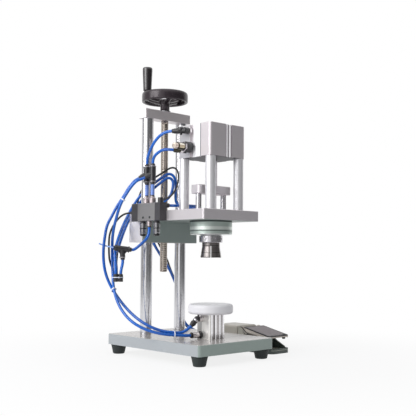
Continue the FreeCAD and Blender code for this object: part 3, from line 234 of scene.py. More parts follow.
def pedal_cover(name, cover, border, paint):
    """The treadle: beige paint, with a ribbed brown-grey covering glued on its sloping top and a thin dark
    line round it. The level z - slope (y - 42 mm) is the same all over the top and lower on the skirt."""
    make = Finish(name)
    slope = 0.2083
    level = make.axis(Z) - (make.axis(Y) - 0.042) * slope
    top = level.above(-0.0615)
    inner = make.axis(X).within(0.1472, 0.2023) * make.axis(Y).within(-0.0255, 0.0385)
    phase = make.axis(Y) * 900
    ribs = phase.math("SINE", phase)
    colour = make.blend(inner, border, make.blend(make.noise(60, 3), cover, tuple(0.85 * c for c in cover)))
    make.set(Base_Color=make.blend(top, paint, colour), Roughness=make.noise(900, 2) * 0.16 + 0.42,
             Metallic=0.0, Coat_Weight=0.1, Coat_Roughness=0.3)
    make.bump(ribs * top * inner, 0.5, 0.0004)
    return make.material


# Bright metal on a plastic piece: its colour, metal share and roughness
SILVER_PART = (rgb(224, 220, 222), 1.0, 0.2)
BRASS_PART = (rgb(216, 204, 174), 1.0, 0.2)

# Painted light on the base plate: the top face is a lighter, warmer grey as a painted reflection, and the
# left face is a lighter grey as painted light from the lamp on the left.
GREY_ENAMEL = enamel("grey_enamel", rgb(156, 170, 164), rgb(150, 164, 158), 0.42,
                     [({Z: (-70.4, -69)}, rgb(184, 179, 176), 0.0, 0.26),
                      ({X: (-105, -103.4)}, rgb(172, 177, 181), 0.1, 0.36)])
# The carriage block's two end faces are painted near white: painted light of the lamp on the left, with the
# right end matched to the left.
GREEN_ENAMEL = enamel("green_enamel", rgb(156, 168, 164), rgb(149, 161, 157), 0.3,
                      [({X: (-79, -77.7)}, rgb(240, 236, 238), 0.1, 0.36),
                       ({X: (77.7, 79)}, rgb(240, 236, 238), 0.1, 0.36)])
# Painted light on the closing disc: the pale bands at 151 to 157 mm and 140 to 143.2 mm are painted
# highlights, the dark line at 147.6 to 149 mm is painted shade in the groove, and the dark band at the top is
# the head plate's painted shadow.
DISC_FINISH = satin_metal("closing_disc_finish", rgb(184, 196, 190), rgb(174, 186, 180), 0.42, (1, 1, 14),
                          0.6, [({Z: (151, 157)}, rgb(222, 228, 223), 0.6, 0.36),
                                ({Z: (147.6, 149)}, rgb(70, 74, 74), 0.5, 0.5),
                                ({Z: (166.4, 169)}, rgb(48, 54, 52), 0.3, 0.5),
                                ({Z: (140, 143.2)}, rgb(208, 214, 210), 0.85, 0.3)])
PEDAL_GREEN = enamel("pedal_green", rgb(66, 76, 72), rgb(58, 68, 64), 0.4,
                     [({Y: (24, 140)}, rgb(176, 172, 162), 0.0, 0.4),
                      ({X: (147, 203), Y: (-40, 24), Z: (-105.6, -104)}, rgb(150, 154, 144), 0.0, 0.4)])
MIRROR = polished("bright_rib", rgb(240, 239, 242), 0.1, 0.04)
BEIGE_ENAMEL = enamel("beige_enamel", rgb(186, 180, 170), rgb(178, 172, 162), 0.4)
PEDAL_PAD = pedal_cover("pedal_pad", rgb(116, 106, 110), rgb(48, 44, 48), rgb(212, 202, 192))
RUBBER = moulded("foot_rubber", rgb(36, 44, 44), rgb(27, 33, 33), 0.55)
CHROME = polished("hard_chrome", rgb(220, 220, 224), 0.13, 0.06)
ROD = polished("ground_rod", rgb(244, 243, 246), 0.3, 0.06, metallic=0.55)
# Painted light on the lifting barrel: the front part of its left face is a painted highlight from the lamp on
# the left, and the rear part is painted shade beside the fittings.
BARREL = satin_metal("lift_barrel_metal", rgb(198, 194, 195), rgb(178, 175, 177), 0.2, metallic=0.85, zones=[
    ({X: (-21, -14), Y: (-19.6, 4)}, rgb(240, 238, 234), 0.6, 0.3),
    ({X: (-21, -14), Y: (4, 19.6)}, rgb(176, 175, 174), 0.6, 0.34)])
STEEL = polished("bright_steel", rgb(206, 204, 208), 0.2)
DARK_STEEL = satin_metal("dark_steel", rgb(150, 145, 143), rgb(108, 103, 103), 0.32, (1, 1, 14), zones=[
    ({Z: (117.6, 118.8)}, rgb(60, 57, 57), 0.6, 0.4), ({Z: (103.6, 104.6)}, rgb(74, 70, 70), 0.7, 0.4),
    ({Z: (93, 96)}, rgb(112, 107, 106), 0.9, 0.34)])
SCREW_STEEL = polished("screw_steel", rgb(190, 180, 170), 0.08, 0.05)
ANODISED = satin_metal("anodised_plate", rgb(222, 217, 220), rgb(214, 209, 213), 0.38, metallic=0.6)
# Painted light on the cylinder: the dark band on the underside is painted shade, the left channel floor
# painted near white is a painted highlight, the grey line beside it is painted shade of the channel's edge,
# and the slightly darker left face behind the channel is painted shade.
CYLINDER = satin_metal("anodised_cylinder", rgb(228, 222, 225), rgb(219, 213, 217), 0.38,
                       metallic=0.6, zones=[
    ({Z: (297, 297.8)}, rgb(74, 73, 78), 0.3, 0.5),
    ({X: (-49.2, -48.8), Y: (5.7, 50)}, rgb(212, 210, 212), 0.5, 0.4),
    ({X: (-49.2, -45.1), Y: (-19.4, 5.7)}, rgb(253, 252, 253), 0.0, 0.3),
    ({X: (-49.2, -48.8), Y: (-21.2, -18.4)}, rgb(150, 148, 154), 0.3, 0.3)])
# The head plate's underside is painted green-grey: a painted reflection of the green carriage below it.
PLATE = satin_metal("anodised_head_plate", rgb(222, 217, 220), rgb(214, 209, 213), 0.38, metallic=0.6, zones=[
    ({Z: (168.5, 169.2)}, rgb(150, 160, 156), 0.4, 0.4)])
# The crossbar's end faces are painted near white: a painted highlight of the lamp on the left, with the right
# end matched to the left.
CROSSBAR = satin_metal("anodised_crossbar", rgb(222, 216, 217), rgb(214, 208, 210), 0.38,
                       metallic=0.6, zones=[
    ({X: (-65, -64.3)}, rgb(253, 252, 253), 0.0, 0.3), ({X: (64.3, 65)}, rgb(253, 252, 253), 0.0, 0.3)])
BRONZE = satin_metal("bronze", rgb(196, 160, 104), rgb(176, 140, 88), 0.3)
NICKEL = polished("nickel_brass", rgb(186, 175, 177), 0.24, metallic=0.7)
RING_GREY = polished("ring_grey", rgb(170, 166, 170), 0.2)
SILENCER = polished("silencer_chrome", rgb(164, 163, 167), 0.06, 0.05, [
    ({Z: (164.5, 170)}, rgb(60, 58, 62), 0.6, 0.4), ({Z: (152.6, 154.6)}, rgb(34, 33, 36), 0.3, 0.4),
    ({Z: (137, 142)}, rgb(36, 35, 38), 0.3, 0.35)])
WHEEL = satin_metal("dark_wheel", rgb(58, 50, 55), rgb(48, 41, 46), 0.26, metallic=0.25)
GRIP = moulded("black_gloss", rgb(42, 36, 40), rgb(34, 29, 33), 0.14, coat=0.7)
PLASTIC = moulded("black_plastic", rgb(44, 42, 46), rgb(34, 33, 36), 0.34, coat=0.2)
CAPS = moulded("valve_cap_plastic", rgb(66, 64, 68), rgb(57, 55, 59), 0.34, coat=0.2)
# On the exhaust valve, the pale half of the dome and the near-white band along the brass barrel are painted
# highlights, and the dark bands above and below that band are painted shade.
EXHAUST = moulded("exhaust_valve_parts", rgb(40, 39, 43), rgb(32, 31, 34), 0.32, coat=0.2, zones=[
    ({X: (-69.5, -65.5), Y: (-9, 20)}, *SILVER_PART), ({X: (-97, -69.5), Y: (-9, 17.6)}, *BRASS_PART),
    ({X: (-96.6, -86.5), Y: (3, 17)}, rgb(230, 216, 202), 0.8, 0.2),
    ({X: (-86.5, -84), Y: (-9, 17.6)}, rgb(70, 62, 48), 0.8, 0.4),
    ({X: (-84, -69.5), Z: (319.5, 322.5)}, rgb(252, 246, 232), 0.6, 0.14),
    ({X: (-84, -69.5), Z: (322.5, 325.4)}, rgb(110, 96, 66), 0.8, 0.3),
    ({X: (-84, -69.5), Z: (303, 313.5)}, rgb(60, 58, 44), 0.5, 0.3)])
# The white band round the flow control knob's top is a painted highlight.
FLOW = moulded("flow_control_parts", rgb(36, 36, 40), rgb(28, 28, 31), 0.3, coat=0.2, zones=[
    ({X: (-53.2, -48)}, *SILVER_PART), ({Z: (359, 364)}, rgb(250, 250, 252), 0.0, 0.3)])
LIFT_PARTS = moulded("lift_fitting_parts", rgb(40, 39, 43), rgb(31, 30, 33), 0.32, coat=0.2, zones=[
    ({X: (-31, -20), Z: (-46, -20)}, *SILVER_PART), ({X: (-46, -30), Z: (-70, -55)}, *SILVER_PART)])
TEES = moulded("tee_plastic", rgb(38, 37, 41), rgb(29, 28, 31), 0.3, coat=0.3, zones=[
    ({Z: (284.2, 287)}, rgb(70, 69, 74), 0.0, 0.25), ({Z: (245.5, 247.4)}, rgb(76, 75, 80), 0.0, 0.25)])
ACETAL = moulded("white_acetal", rgb(236, 235, 238), rgb(230, 229, 233), 0.34, 700)
BLUE = air_hose("blue_hose", rgb(6, 106, 208), rgb(6, 84, 176))
# The risers' paler blue is partly the hose's own tint and partly a painted sheen.
RISER = air_hose("pale_blue_hose_painted_sheen", rgb(128, 160, 232), rgb(104, 136, 214), 0.12, [
    ({Z: (219.5, 222.2)}, rgb(40, 42, 56), 0.0, 0.3), ({Z: (244, 247)}, rgb(30, 31, 44), 0.0, 0.3)])
BLACK = moulded("black_hose", rgb(16, 16, 19), rgb(11, 11, 14), 0.4)
VALVE = satin_metal("valve_body", rgb(150, 148, 148), rgb(140, 138, 138), 0.42, (1, 1, 1), 0.6)
TAIL = moulded("tie_tail_nylon", rgb(146, 176, 232), rgb(130, 160, 220), 0.3)
NYLON = moulded("white_nylon", rgb(226, 232, 246), rgb(214, 222, 240), 0.3)

NODE_FINISH = {
    "base_plate": GREY_ENAMEL, "base_feet": RUBBER, "columns": CHROME, "crossbar": CROSSBAR,
    "thrust_bush": STEEL, "lead_screw": SCREW_STEEL, "handwheel": WHEEL, "handle_spindle": PLASTIC,
    "handle_grip": GRIP, "carriage_block": GREEN_ENAMEL, "column_bushes": BRONZE, "screw_nut": BRONZE,
    "head_plate": PLATE, "head_posts": ROD, "cylinder_barrel": CYLINDER, "cylinder_caps": CYLINDER,
    "piston": ANODISED, "piston_rod": STEEL, "yoke": ANODISED, "push_rods": STEEL,
    "guide_bushes": BRONZE, "closing_disc": DISC_FINISH, "closing_ring": STEEL,
    "collet_core": DARK_STEEL, "lift_barrel": BARREL, "lift_piston": STEEL, "platen": ACETAL,
    "lift_fittings": LIFT_PARTS, "valve_body": VALVE, "valve_spool": STEEL, "valve_end_caps": CAPS,
    "valve_fittings": NICKEL, "silencers": SILENCER, "pilot_fittings": PLASTIC, "hose_tees": TEES,
    "flow_control": FLOW, "exhaust_valve": EXHAUST, "supply_tee": PLASTIC, "hose_coupling": PLASTIC,
    "pedal_base": PEDAL_GREEN, "pedal_body": BEIGE_ENAMEL, "pedal_treadle": PEDAL_PAD,
    "pedal_plunger": STEEL, "hose_risers": RISER,
}
for number in range(1, 7):
    NODE_FINISH[f"collet_jaw_{number}"] = DARK_STEEL
for name, material in NODE_FINISH.items():
    part[name].data.materials.clear()
    part[name].data.materials.append(material)


# Surfaces from arrays

def surface(name, points, finish, closed_rows=False, smooth=True):
    """A mesh over a grid of points: the columns run round and close, and the rows run along it, closed in
    a ring or shut at each end by a disc."""
    rows, columns = points.shape[:2]
    row = np.arange(rows if closed_rows else rows - 1)[:, None]
    column = np.arange(columns)[None, :]
    after_row, after_column = (row + 1) % rows, (column + 1) % columns
    corners = [row * columns + column, row * columns + after_column,
               after_row * columns + after_column, after_row * columns + column]
    faces = np.stack(np.broadcast_arrays(*corners), -1).reshape(-1, 4).tolist()
    if not closed_rows:
        faces.append(np.arange(columns)[::-1].tolist())
        faces.append((np.arange(columns) + (rows - 1) * columns).tolist())
    mesh = bpy.data.meshes.new(name)
    mesh.from_pydata(points.reshape(-1, 3).tolist(), [], faces)
    mesh.polygons.foreach_set("use_smooth", [smooth] * len(faces))
    if not closed_rows:
        mesh.polygons[-1].use_smooth = mesh.polygons[-2].use_smooth = False
    mesh.materials.append(finish)
    piece = bpy.data.objects.new(name, mesh)
    bpy.context.scene.collection.objects.link(piece)
    return piece


def nurbs_line(name, points):
    """The smooth line of a hose: a NURBS spline with the route's points as its control points, read back
    as the points that Blender itself gives for it."""
    curve = bpy.data.curves.new(name + "_line", "CURVE")
    curve.dimensions = "3D"
    curve.resolution_u = 10
    spline = curve.splines.new("NURBS")
    spline.points.add(len(points) - 1)
    spline.points.foreach_set("co", np.c_[points, np.ones(len(points))].ravel())
    spline.order_u = 3
    spline.use_endpoint_u = True
    holder = bpy.data.objects.new(name + "_line", curve)
    line = bpy.data.meshes.new_from_object(holder)
    path = np.zeros(len(line.vertices) * 3)
    line.vertices.foreach_get("co", path)
    bpy.data.objects.remove(holder)
    bpy.data.curves.remove(curve)
    bpy.data.meshes.remove(line)
    return path.reshape(-1, 3)


def across(path):
    """The tangent t at each point of a line, and two directions across it: n = t x r and b = t x n. The
    steady direction r is the one, of many over a ball, that stays furthest from every tangent."""
    tangent = np.gradient(path, axis=0)
    tangent /= np.linalg.norm(tangent, axis=1, keepdims=True)
    turn, rise = np.meshgrid(np.linspace(0, math.pi, 24, endpoint=False), np.linspace(-1, 1, 17))
    level = np.sqrt(1 - rise ** 2)
    ball = np.stack([level * np.cos(turn), level * np.sin(turn), rise], -1).reshape(-1, 3)
    steady = ball[np.abs(tangent @ ball.T).max(0).argmin()]
    normal = np.cross(tangent, steady)
    normal /= np.linalg.norm(normal, axis=1, keepdims=True)
    return tangent, normal, np.cross(tangent, normal)


def tube(name, path, radius, finish, sides=20):
    """A round section carried along a line: point = p(s) + radius (n(s) cos a + b(s) sin a)."""
    _, normal, binormal = across(path)
    angle = np.linspace(0, 2 * math.pi, sides, endpoint=False)[None, :, None]
    ring = normal[:, None] * np.cos(angle) + binormal[:, None] * np.sin(angle)
    return surface(name, path[:, None] + radius * ring, finish)


def turned(name, profile, centre, finish, sides=48, turn=(0, 0, 1)):
    """A profile of (radius, height) pairs spun round an axis: point = c + r (u cos a + v sin a) + h w."""
    w = np.array(turn, float) / np.linalg.norm(turn)
    u = np.cross(w, (0, 1, 0) if abs(w[1]) < 0.9 else (1, 0, 0))
    u /= np.linalg.norm(u)
    v = np.cross(w, u)
    angle = np.linspace(0, 2 * math.pi, sides, endpoint=False)[None, :, None]
    radius, height = np.array(profile, float).T[:, :, None, None] * MM
    points = np.array(centre) * MM + radius * (u * np.cos(angle) + v * np.sin(angle)) + height * w
    return surface(name, points, finish)


# Hoses

# A run is two points in metres. A hose with a run is baked in place and carried by no body; the run's points
# themselves are not read.
PEDAL_RUN = ((0.14, 0.19, 0.0), (-0.06, 0.19, 0.0))
LIFT_RUN = ((-0.060, 0.015, -0.055), (-0.150, 0.155, 0.110))

# Each hose: its radius in millimetres, its finish, its run, or None for a hose that moves with the carriage,
# and its control points in millimetres from one fitting to the other
HOSES = {
    "hose_cylinder_top": (3, BLUE, None, [
        (-73.3, 37.1, 351.7), (-78.4, 45.7, 351.7), (-83.1, 56.2, 348.7), (-86.6, 69.5, 340.7),
        (-88, 84, 327.5), (-88, 96, 311), (-88, 102.5, 297), (-88, 102.5, 286)]),
    "hose_cylinder_bottom": (3, BLUE, None, [
        (-77.5, 27.5, 311.6), (-83.8, 32.5, 312.2), (-88.5, 41, 312.9), (-90.2, 52, 312),
        (-89.6, 62.8, 309.2), (-88.3, 74.2, 305.1), (-88, 79.9, 300), (-88, 83, 293), (-88, 83, 286)]),
    "hose_lift_outer": (3, BLUE, LIFT_RUN, [
        (-98.6, 112.4, 259.2), (-105.2, 118.6, 255), (-111.5, 123, 246), (-117.5, 128, 235.5),
        (-122, 132.5, 224), (-128.5, 137, 211.5), (-134.5, 144, 198), (-141.5, 150, 179),
        (-149.5, 156.5, 160), (-153.5, 157.5, 136), (-155.5, 159, 112), (-155.5, 158.5, 88),
        (-153.5, 155.5, 65), (-145, 154.5, 43.5), (-136.5, 147, 23), (-132, 123, -1), (-130.5, 93, -20.5),
        (-123, 69, -35.5), (-110, 50, -46.5), (-95, 34, -53), (-80, 22.5, -55), (-64, 17.5, -56.5),
        (-52.5, 11.7, -50.5), (-45.1, 8.1, -41.8)]),
    "hose_lift_inner": (3, BLUE, LIFT_RUN, [
        (-98.6, 92.9, 259.2), (-105.2, 99.1, 255), (-112.5, 103, 252.5), (-118, 110, 244.5),
        (-122.5, 117, 234), (-126.5, 123.5, 222.5), (-130.5, 129.5, 211), (-135, 134.5, 195.5),
        (-135.5, 142, 177), (-134.5, 152, 157), (-135.5, 156, 133), (-135, 156.5, 109),
        (-135.5, 155.5, 86), (-137, 150.5, 59), (-143, 140, 33.5), (-146.5, 124, 8), (-147, 104, -14),
        (-144, 81, -31.5), (-133, 61, -44.5), (-115, 42, -54), (-94.5, 25, -58.5), (-72, 12, -60),
        (-58, 6, -61.5), (-48.5, 6, -61.5)]),
    "hose_supply": (3, BLUE, None, [
        (-88, 92.5, 157.5), (-88, 92.5, 149), (-89.8, 93, 138.5), (-95.6, 95, 129.3),
        (-103.6, 98.8, 121.3), (-110, 104.5, 114), (-115.2, 109.1, 108.7), (-120.9, 111.9, 109.3)]),
    "hose_branch": (3, BLUE, None, [
        (-135, 119.5, 90.4), (-134.5, 119.5, 82.4), (-140, 119, 66), (-140, 119, 58)]),
    "hose_control": (3, BLUE, None, [
        (-149, 124, 58), (-149, 124, 70), (-148.5, 127, 84), (-146, 132, 100), (-137.5, 140, 117),
        (-125, 148.5, 135), (-108.5, 160, 154.5), (-87.5, 174.5, 174), (-68, 185, 193.5),
        (-54, 187.5, 211), (-41.5, 187.5, 226), (-35, 178, 238), (-32, 163.5, 247.5), (-28, 151, 256),
        (-22, 142.5, 263.5), (-12, 138, 271.5), (-2.2, 134.6, 277.3), (4.3, 129.6, 275.5),
        (8.3, 125.6, 268.5), (9.8, 123.8, 259), (9.5, 122.8, 247), (8, 122, 233), (8, 121.5, 218.4),
        (10.3, 120.1, 211.8), (14.6, 117.4, 206.7), (20.2, 113.9, 204), (29, 108, 203.5),
        (37, 98.5, 203.3), (40.5, 87, 203.3), (37.5, 76, 203.3), (27, 67.5, 203.3), (10, 62, 203.3),
        (-11, 59, 203), (-34, 57.5, 202), (-55, 57, 200.6), (-68, 57, 200.5)]),
    "hose_pedal_feed": (3, BLUE, PEDAL_RUN, [
        (-141.5, 131.5, 58), (-141.5, 131.5, 70), (-141, 135, 84), (-139, 141, 100), (-122, 152, 114),
        (-109.5, 160, 132), (-93.5, 171, 150.5), (-75, 183, 170), (-58, 190, 188.5), (-41.5, 194, 205.5),
        (-31, 191, 220.5), (-27, 179.5, 232), (-28.5, 161.5, 240.5), (-28.5, 146.5, 247.5),
        (-24, 137, 255), (-18, 131, 262), (-11, 127, 267), (-4.5, 123, 266), (-0.5, 120.5, 259.5),
        (-2, 119, 249), (-3.5, 119.5, 239.5), (-6, 122, 228.5), (-10, 128.5, 220), (-14, 137.5, 214),
        (-16.5, 149.5, 209), (-17.5, 163, 204.5), (-18.5, 175, 198.5), (-20, 182.5, 189),
        (-21, 185.5, 176.5), (-16.5, 188.5, 161), (-8.5, 189, 144.5), (0.5, 187.5, 126.5),
        (8, 184.5, 111), (28, 185, 89.5), (48.5, 186.5, 65), (65, 188, 38), (78, 189.5, 15),
        (86, 191.5, -8), (90, 193, -29), (94.5, 193.5, -47), (102.5, 192.5, -60), (113.5, 189.5, -69),
        (126, 184, -76.5), (139, 177.5, -82), (150, 172, -86), (157, 164.5, -88), (160, 155.5, -88),
        (160, 146, -88)]),
    "hose_pilot_front": (2, BLACK, PEDAL_RUN, [
        (-77.8, 67.2, 211), (-70, 75, 211), (-54.5, 80, 216), (-35, 88, 223), (-17, 96, 234.5),
        (-3, 104, 249), (7, 111, 263.5), (11.5, 116, 276), (12, 121, 285), (8, 125.5, 290.5),
        (1, 130, 290.5), (-7, 134, 285.5), (-15.5, 139, 278.5), (-24.5, 145, 271.5), (-32, 155, 264),
        (-34.5, 171, 254.5), (-35, 187, 242.5), (-36, 196, 227.5), (-36.5, 199.5, 210.5),
        (-32.5, 201, 192), (-23.5, 201, 172), (-11, 200.5, 151.5), (4, 200, 131), (20, 199.5, 110),
        (37, 199, 88.5), (54, 199, 67), (76, 199.5, 46), (86, 200, 25), (92, 200, 4), (95.8, 200, -16),
        (98, 200, -36), (102, 199.5, -52), (109.5, 197.5, -64.5), (121, 194, -73.5), (135, 189.5, -80.5),
        (149, 184.5, -85.5), (161, 178, -88), (169.5, 169, -88), (173, 157.5, -88), (173, 146, -88)]),
    "hose_pilot_rear": (2, BLACK, PEDAL_RUN, [
        (-87, 152.5, 188), (-87, 163.5, 188), (-91.5, 172.5, 186.7), (-101.5, 176, 180),
        (-118.5, 168, 168.5), (-130, 165.5, 155), (-138.5, 162.5, 140), (-143, 157.5, 122),
        (-143.2, 156.5, 104), (-138.5, 161, 87), (-131.5, 158.5, 68), (-129, 152.1, 51),
        (-125.2, 156.1, 44), (-119.7, 162, 44), (-116, 166, 51), (-115, 167, 62), (-115.3, 168, 77),
        (-113.5, 168.5, 96), (-109, 171, 117.5), (-98.5, 177, 140), (-85, 185, 159),
        (-67.5, 195.5, 176.5), (-49, 203, 191.5), (-30, 207, 199), (-12, 209, 196), (2, 209.5, 183),
        (12.5, 209, 162.5), (24.5, 208.5, 137.5), (40, 207.5, 112.5), (57.5, 207, 89), (66, 207, 69),
        (79, 207, 47), (89, 207, 24), (95.5, 207.5, 1), (99.5, 208, -20), (103, 208, -39),
        (108, 207, -55), (116, 205.5, -67.5), (128, 202.5, -76.5), (143, 199, -83), (159, 195, -87),
        (173, 188.5, -88.5), (182.5, 178, -88.3), (186, 163, -88), (186, 146, -88)]),
}
lines = {}
for name, (radius, finish, crossing, route) in HOSES.items():
    path = nurbs_line(name, np.array(route, float) * MM)
    lines[name] = path
    hose = tube(name + "_tube", path, radius * MM, finish)
    if crossing:
        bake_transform(hose)
    else:
        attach(hose, "carriage")
    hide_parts(name)
    "blue_hose" if radius == 3 else "black_hose"
    if name != "hose_branch":
        2 * radius * MM


# Small parts that the solids leave plain

def carried(piece, body):
    """Carried by a body."""
    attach(piece, body)
    return piece


def joined(name, pieces):
    """Several surfaces as one piece."""
    with bpy.context.temp_override(active_object=pieces[0], selected_editable_objects=pieces):
        bpy.ops.object.join()
    pieces[0].name = name
    return pieces[0]


def threaded_screw():
    """The lead screw about Z: radius = crest - depth x tooth, where tooth is 0 on the flat crest and 1 in
    the root of a trapezium wave of (z / pitch - a / 2 pi), then its plain journal and tail."""
    crest, pitch, depth = 8, 4.0, 0.2
    start, end = 63.5, 386
    angle = np.linspace(0, 2 * math.pi, 36, endpoint=False)
    height = np.arange(start, end + 1, pitch / 8)[:, None]
    wave = np.abs(2 * ((height / pitch - angle / (2 * math.pi)) % 1) - 1)
    run_in = np.clip(np.minimum(height - start, end - height) / pitch, 0, 1)
    radius = crest - depth * np.clip(5 * wave - 3.6, 0, 1) * run_in
    rows = [(6.5, 62), *zip(radius, height[:, 0]), (crest, 388), (crest, 395.3), (7, 395.3), (7, 417.9),
            (6, 417.9), (6, 441.9)]
    points = np.array([np.stack([r * np.cos(angle), SCREW_Y + r * np.sin(angle), angle * 0 + z], -1)
                       for r, z in rows])
    return surface("threaded_screw", points * MM, SCREW_STEEL)


def socket_screw(name, centre, head, height, finish):
    """A cap screw with a hexagon socket, about Z. A wall is a ring of radius r, and the socket's ring has
    the radius flat / cos(angle from the nearest flat's middle)."""
    angle = np.linspace(0, 2 * math.pi, 36, endpoint=False)
    flat = head * 0.5 / np.cos((angle + math.pi / 6) % (math.pi / 3) - math.pi / 6)
    rows = [(head, 0), (head, height - 0.5), (head - 0.5, height), (flat + 0.3, height),
            (flat, height - 0.3), (flat, height * 0.45)]
    points = np.array([np.stack([r * np.cos(angle), r * np.sin(angle), angle * 0 + z], -1) for r, z in rows])
    return surface(name, (points + np.array(centre)) * MM, finish, smooth=False)


def hose_tie(name, middle, along, outward, half_width, half_depth, width=2.6):
    """A nylon tie round a pair of hoses: an oblong ring, point = m + R1 cos a e1 + R2 sin a e2, with a flat
    strip for its section, and its head on the outer side."""
    t = np.array(along, float) / np.linalg.norm(along)
    e1 = np.array(outward, float)
    e1 -= t * (e1 @ t)
    e1 /= np.linalg.norm(e1)
    e2 = np.cross(t, e1)
    angle = np.linspace(0, 2 * math.pi, 40, endpoint=False)[:, None, None]
    section = np.array([(0, -0.5), (0, 0.5), (1.1, 0.5), (1.1, -0.5)])
    out = section[None, :, :1]
    ring = (half_width + out) * np.cos(angle) * e1 + (half_depth + out) * np.sin(angle) * e2
    band = surface(name, (np.array(middle) + ring + section[None, :, 1:] * width * t) * MM, NYLON,
                   closed_rows=True, smooth=False)
    seat = np.array(middle) - e2 * (half_depth + 0.4)
    head = turned(name + "_head", [(1.2, 0), (1.7, 0.3), (1.8, 1.6), (1.4, 2.0)], seat, NYLON, 8, -e2)
    return joined(name, [band, head])


def pressed_out(name, outline, start, end, finish, axis=Z):
    """An outline of points, in order round it, drawn along an axis: (x, y) along Z, or (y, z) along X."""
    flat = np.array(outline, float)
    rows = np.array([np.c_[flat, np.full(len(flat), level)] for level in (start, end)])
    return surface(name, np.roll(rows, axis + 1, -1) * MM, finish, smooth=False)


def nose_line(radius):
    """The pedal tray's front edge in plan: a side, a quarter circle, the front, a quarter circle and a side.
    The quarter circles have their centres at (right, front) and (left, front)."""
    left, right, front, joint = 157.6, 191.9, -24, -19
    quarter = np.linspace(0, math.pi / 2, 9)
    right_end = [(right + radius * math.cos(a), front - radius * math.sin(a)) for a in quarter]
    left_end = [(left - radius * math.sin(a), front - radius * math.cos(a)) for a in quarter]
    return [(right + radius, joint), *right_end, *left_end, (left - radius, joint)]


# The lead screw with its thread, the tapered feet and the grip
screw = carried(threaded_screw(), "screw")
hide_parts("lead_screw")

foot_profile = [(10.4, 0), (11.8, 0.5), (12.4, 1.6), (13.0, 4), (15.4, 15), (16.2, 17.6), (16.4, 20)]
feet = [turned("foot", foot_profile, (x, y, BENCH_Z), RUBBER, 40) for x in (-86, 86) for y in (-61, 195)]
foot_set = carried(joined("tapered_feet", feet), "stand")
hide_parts("base_feet")

grip_profile = [(7.6, 0), (8.9, 0.6), (9.3, 3), (9.5, 10), (10.0, 22), (10.7, 38), (11.0, 46), (10.9, 50),
                (10.3, 52), (9.0, 52.7)]
grip = carried(turned("revolving_grip", grip_profile, (-35.3, 170.3, 461.2), GRIP), "grip")
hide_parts("handle_grip")

# Screws and the wheel's nut
for x in (-1, 1):
    carried(socket_screw(f"crossbar_screw_{x + 2}", (48 * x, SCREW_Y, 415.6), 6.5, 1.2, STEEL), "stand")
    carried(turned(f"yoke_nut_{x + 2}",
                   [(5.4, 0), (5.8, 0.3), (5.8, 0.9), (5.2, 1.2), (2.6, 1.2), (2.4, 0.4)],
                   (35.0 * x, 0, 241.5), STEEL, 6), "press")
    for y in (-1, 1):
        carried(socket_screw(f"cylinder_screw_{x + 2}_{y + 2}", (39.5 * x, 39.5 * y, 364.7), 6.0, 1.2, STEEL),
                "carriage")
        carried(socket_screw(f"plate_screw_{x + 2}_{y + 2}", (60 * x, SCREW_Y + 12 * y, 190), 4.2, 3, STEEL),
                "carriage")
carried(turned("wheel_nut", [(9, 0), (9, 1.4), (7.4, 1.6), (7.4, 7), (6.6, 7.8), (4.6, 8), (4.4, 9.4),
                             (3.0, 10.8)], (0, SCREW_Y, 443.9), STEEL, 12), "screw")
for number, y in enumerate((82.4, 103.8), 1):
    carried(turned(f"valve_screw_{number}", [(2.4, -0.2), (2.4, 0.5), (1.9, 0.9), (1.1, 0.9), (1.0, 0.3)],
                   (-96, y, 176), RUBBER, 20, (-1, 0, 0)), "carriage")

# Two bright ribs in each sensor channel of the cylinder, apart from the one beside the fittings
channel_floor = -45.6
for side, turn, shift in (("front", 0, 3), ("right", 90, -3), ("back", 180, -3)):
    c, s = math.cos(math.radians(turn)), math.sin(math.radians(turn))
    for number, (start, slope, rise) in enumerate(((-6.9, 2.3, 3.2), (3.7, 1.5, 2.2)), 1):
        top = channel_floor - rise
        rib = [(start, channel_floor), (start + slope, top), (start + slope + 0.9, top),
               (start + slope + 1.5, channel_floor)]
        turned_rib = [(c * (x + shift) - s * y, s * (x + shift) + c * y) for x, y in rib]
        carried(pressed_out(f"{side}_channel_rib_{number}", turned_rib[::-1], 297.8, 364.5, MIRROR),
                "carriage")


# The handwheel: a hub, a dished rim and three arms

def wheel_arm(angle):
    """An arm from the hub to the rim: an ellipse of half width w(s) and half height h(s), carried along the
    line p(s) that rises outwards in an easy bend."""
    s = np.linspace(0, 1, 14)[:, None, None]
    round_it = np.linspace(0, 2 * math.pi, 20, endpoint=False)[None, :, None]
    c, n = math.cos(math.radians(angle)), math.sin(math.radians(angle))
    along = np.array((c, n, 0))
    beside = np.array((-n, c, 0))
    upward = np.array((0, 0, 1.0))
    reach = 9 + 35 * s
    height = 437 + 11 * s ** 1.6
    flare = 1 + 0.35 * (2 * s - 1) ** 2
    half_width, half_height = 6.2 * flare, 3.2 * flare
    centre = reach * along + height * upward + np.array((0, SCREW_Y, 0))
    ring = half_width * np.cos(round_it) * beside + half_height * np.sin(round_it) * upward
    return surface("arm", (centre + ring) * MM, WHEEL)


def wheel_rim():
    """The rim: a closed section of (radius, height) points spun round the screw's axis."""
    section = np.array([(44.2, 439.2), (49.2, 437.6), (50.6, 438.4), (51.0, 441), (51.2, 450), (51.0, 454),
                        (50.2, 457), (48.4, 458.8), (46.2, 458.9), (43.8, 457.6), (41.6, 454.4),
                        (41.0, 451.6), (42.6, 449.4), (45.4, 447), (46.4, 444), (45.6, 441)])
    angle = np.linspace(0, 2 * math.pi, 96, endpoint=False)[:, None]
    points = np.stack([section[:, 0] * np.cos(angle), SCREW_Y + section[:, 0] * np.sin(angle),
                       section[:, 1] + 0 * angle], -1)
    return surface("rim", points * MM, WHEEL, closed_rows=True)


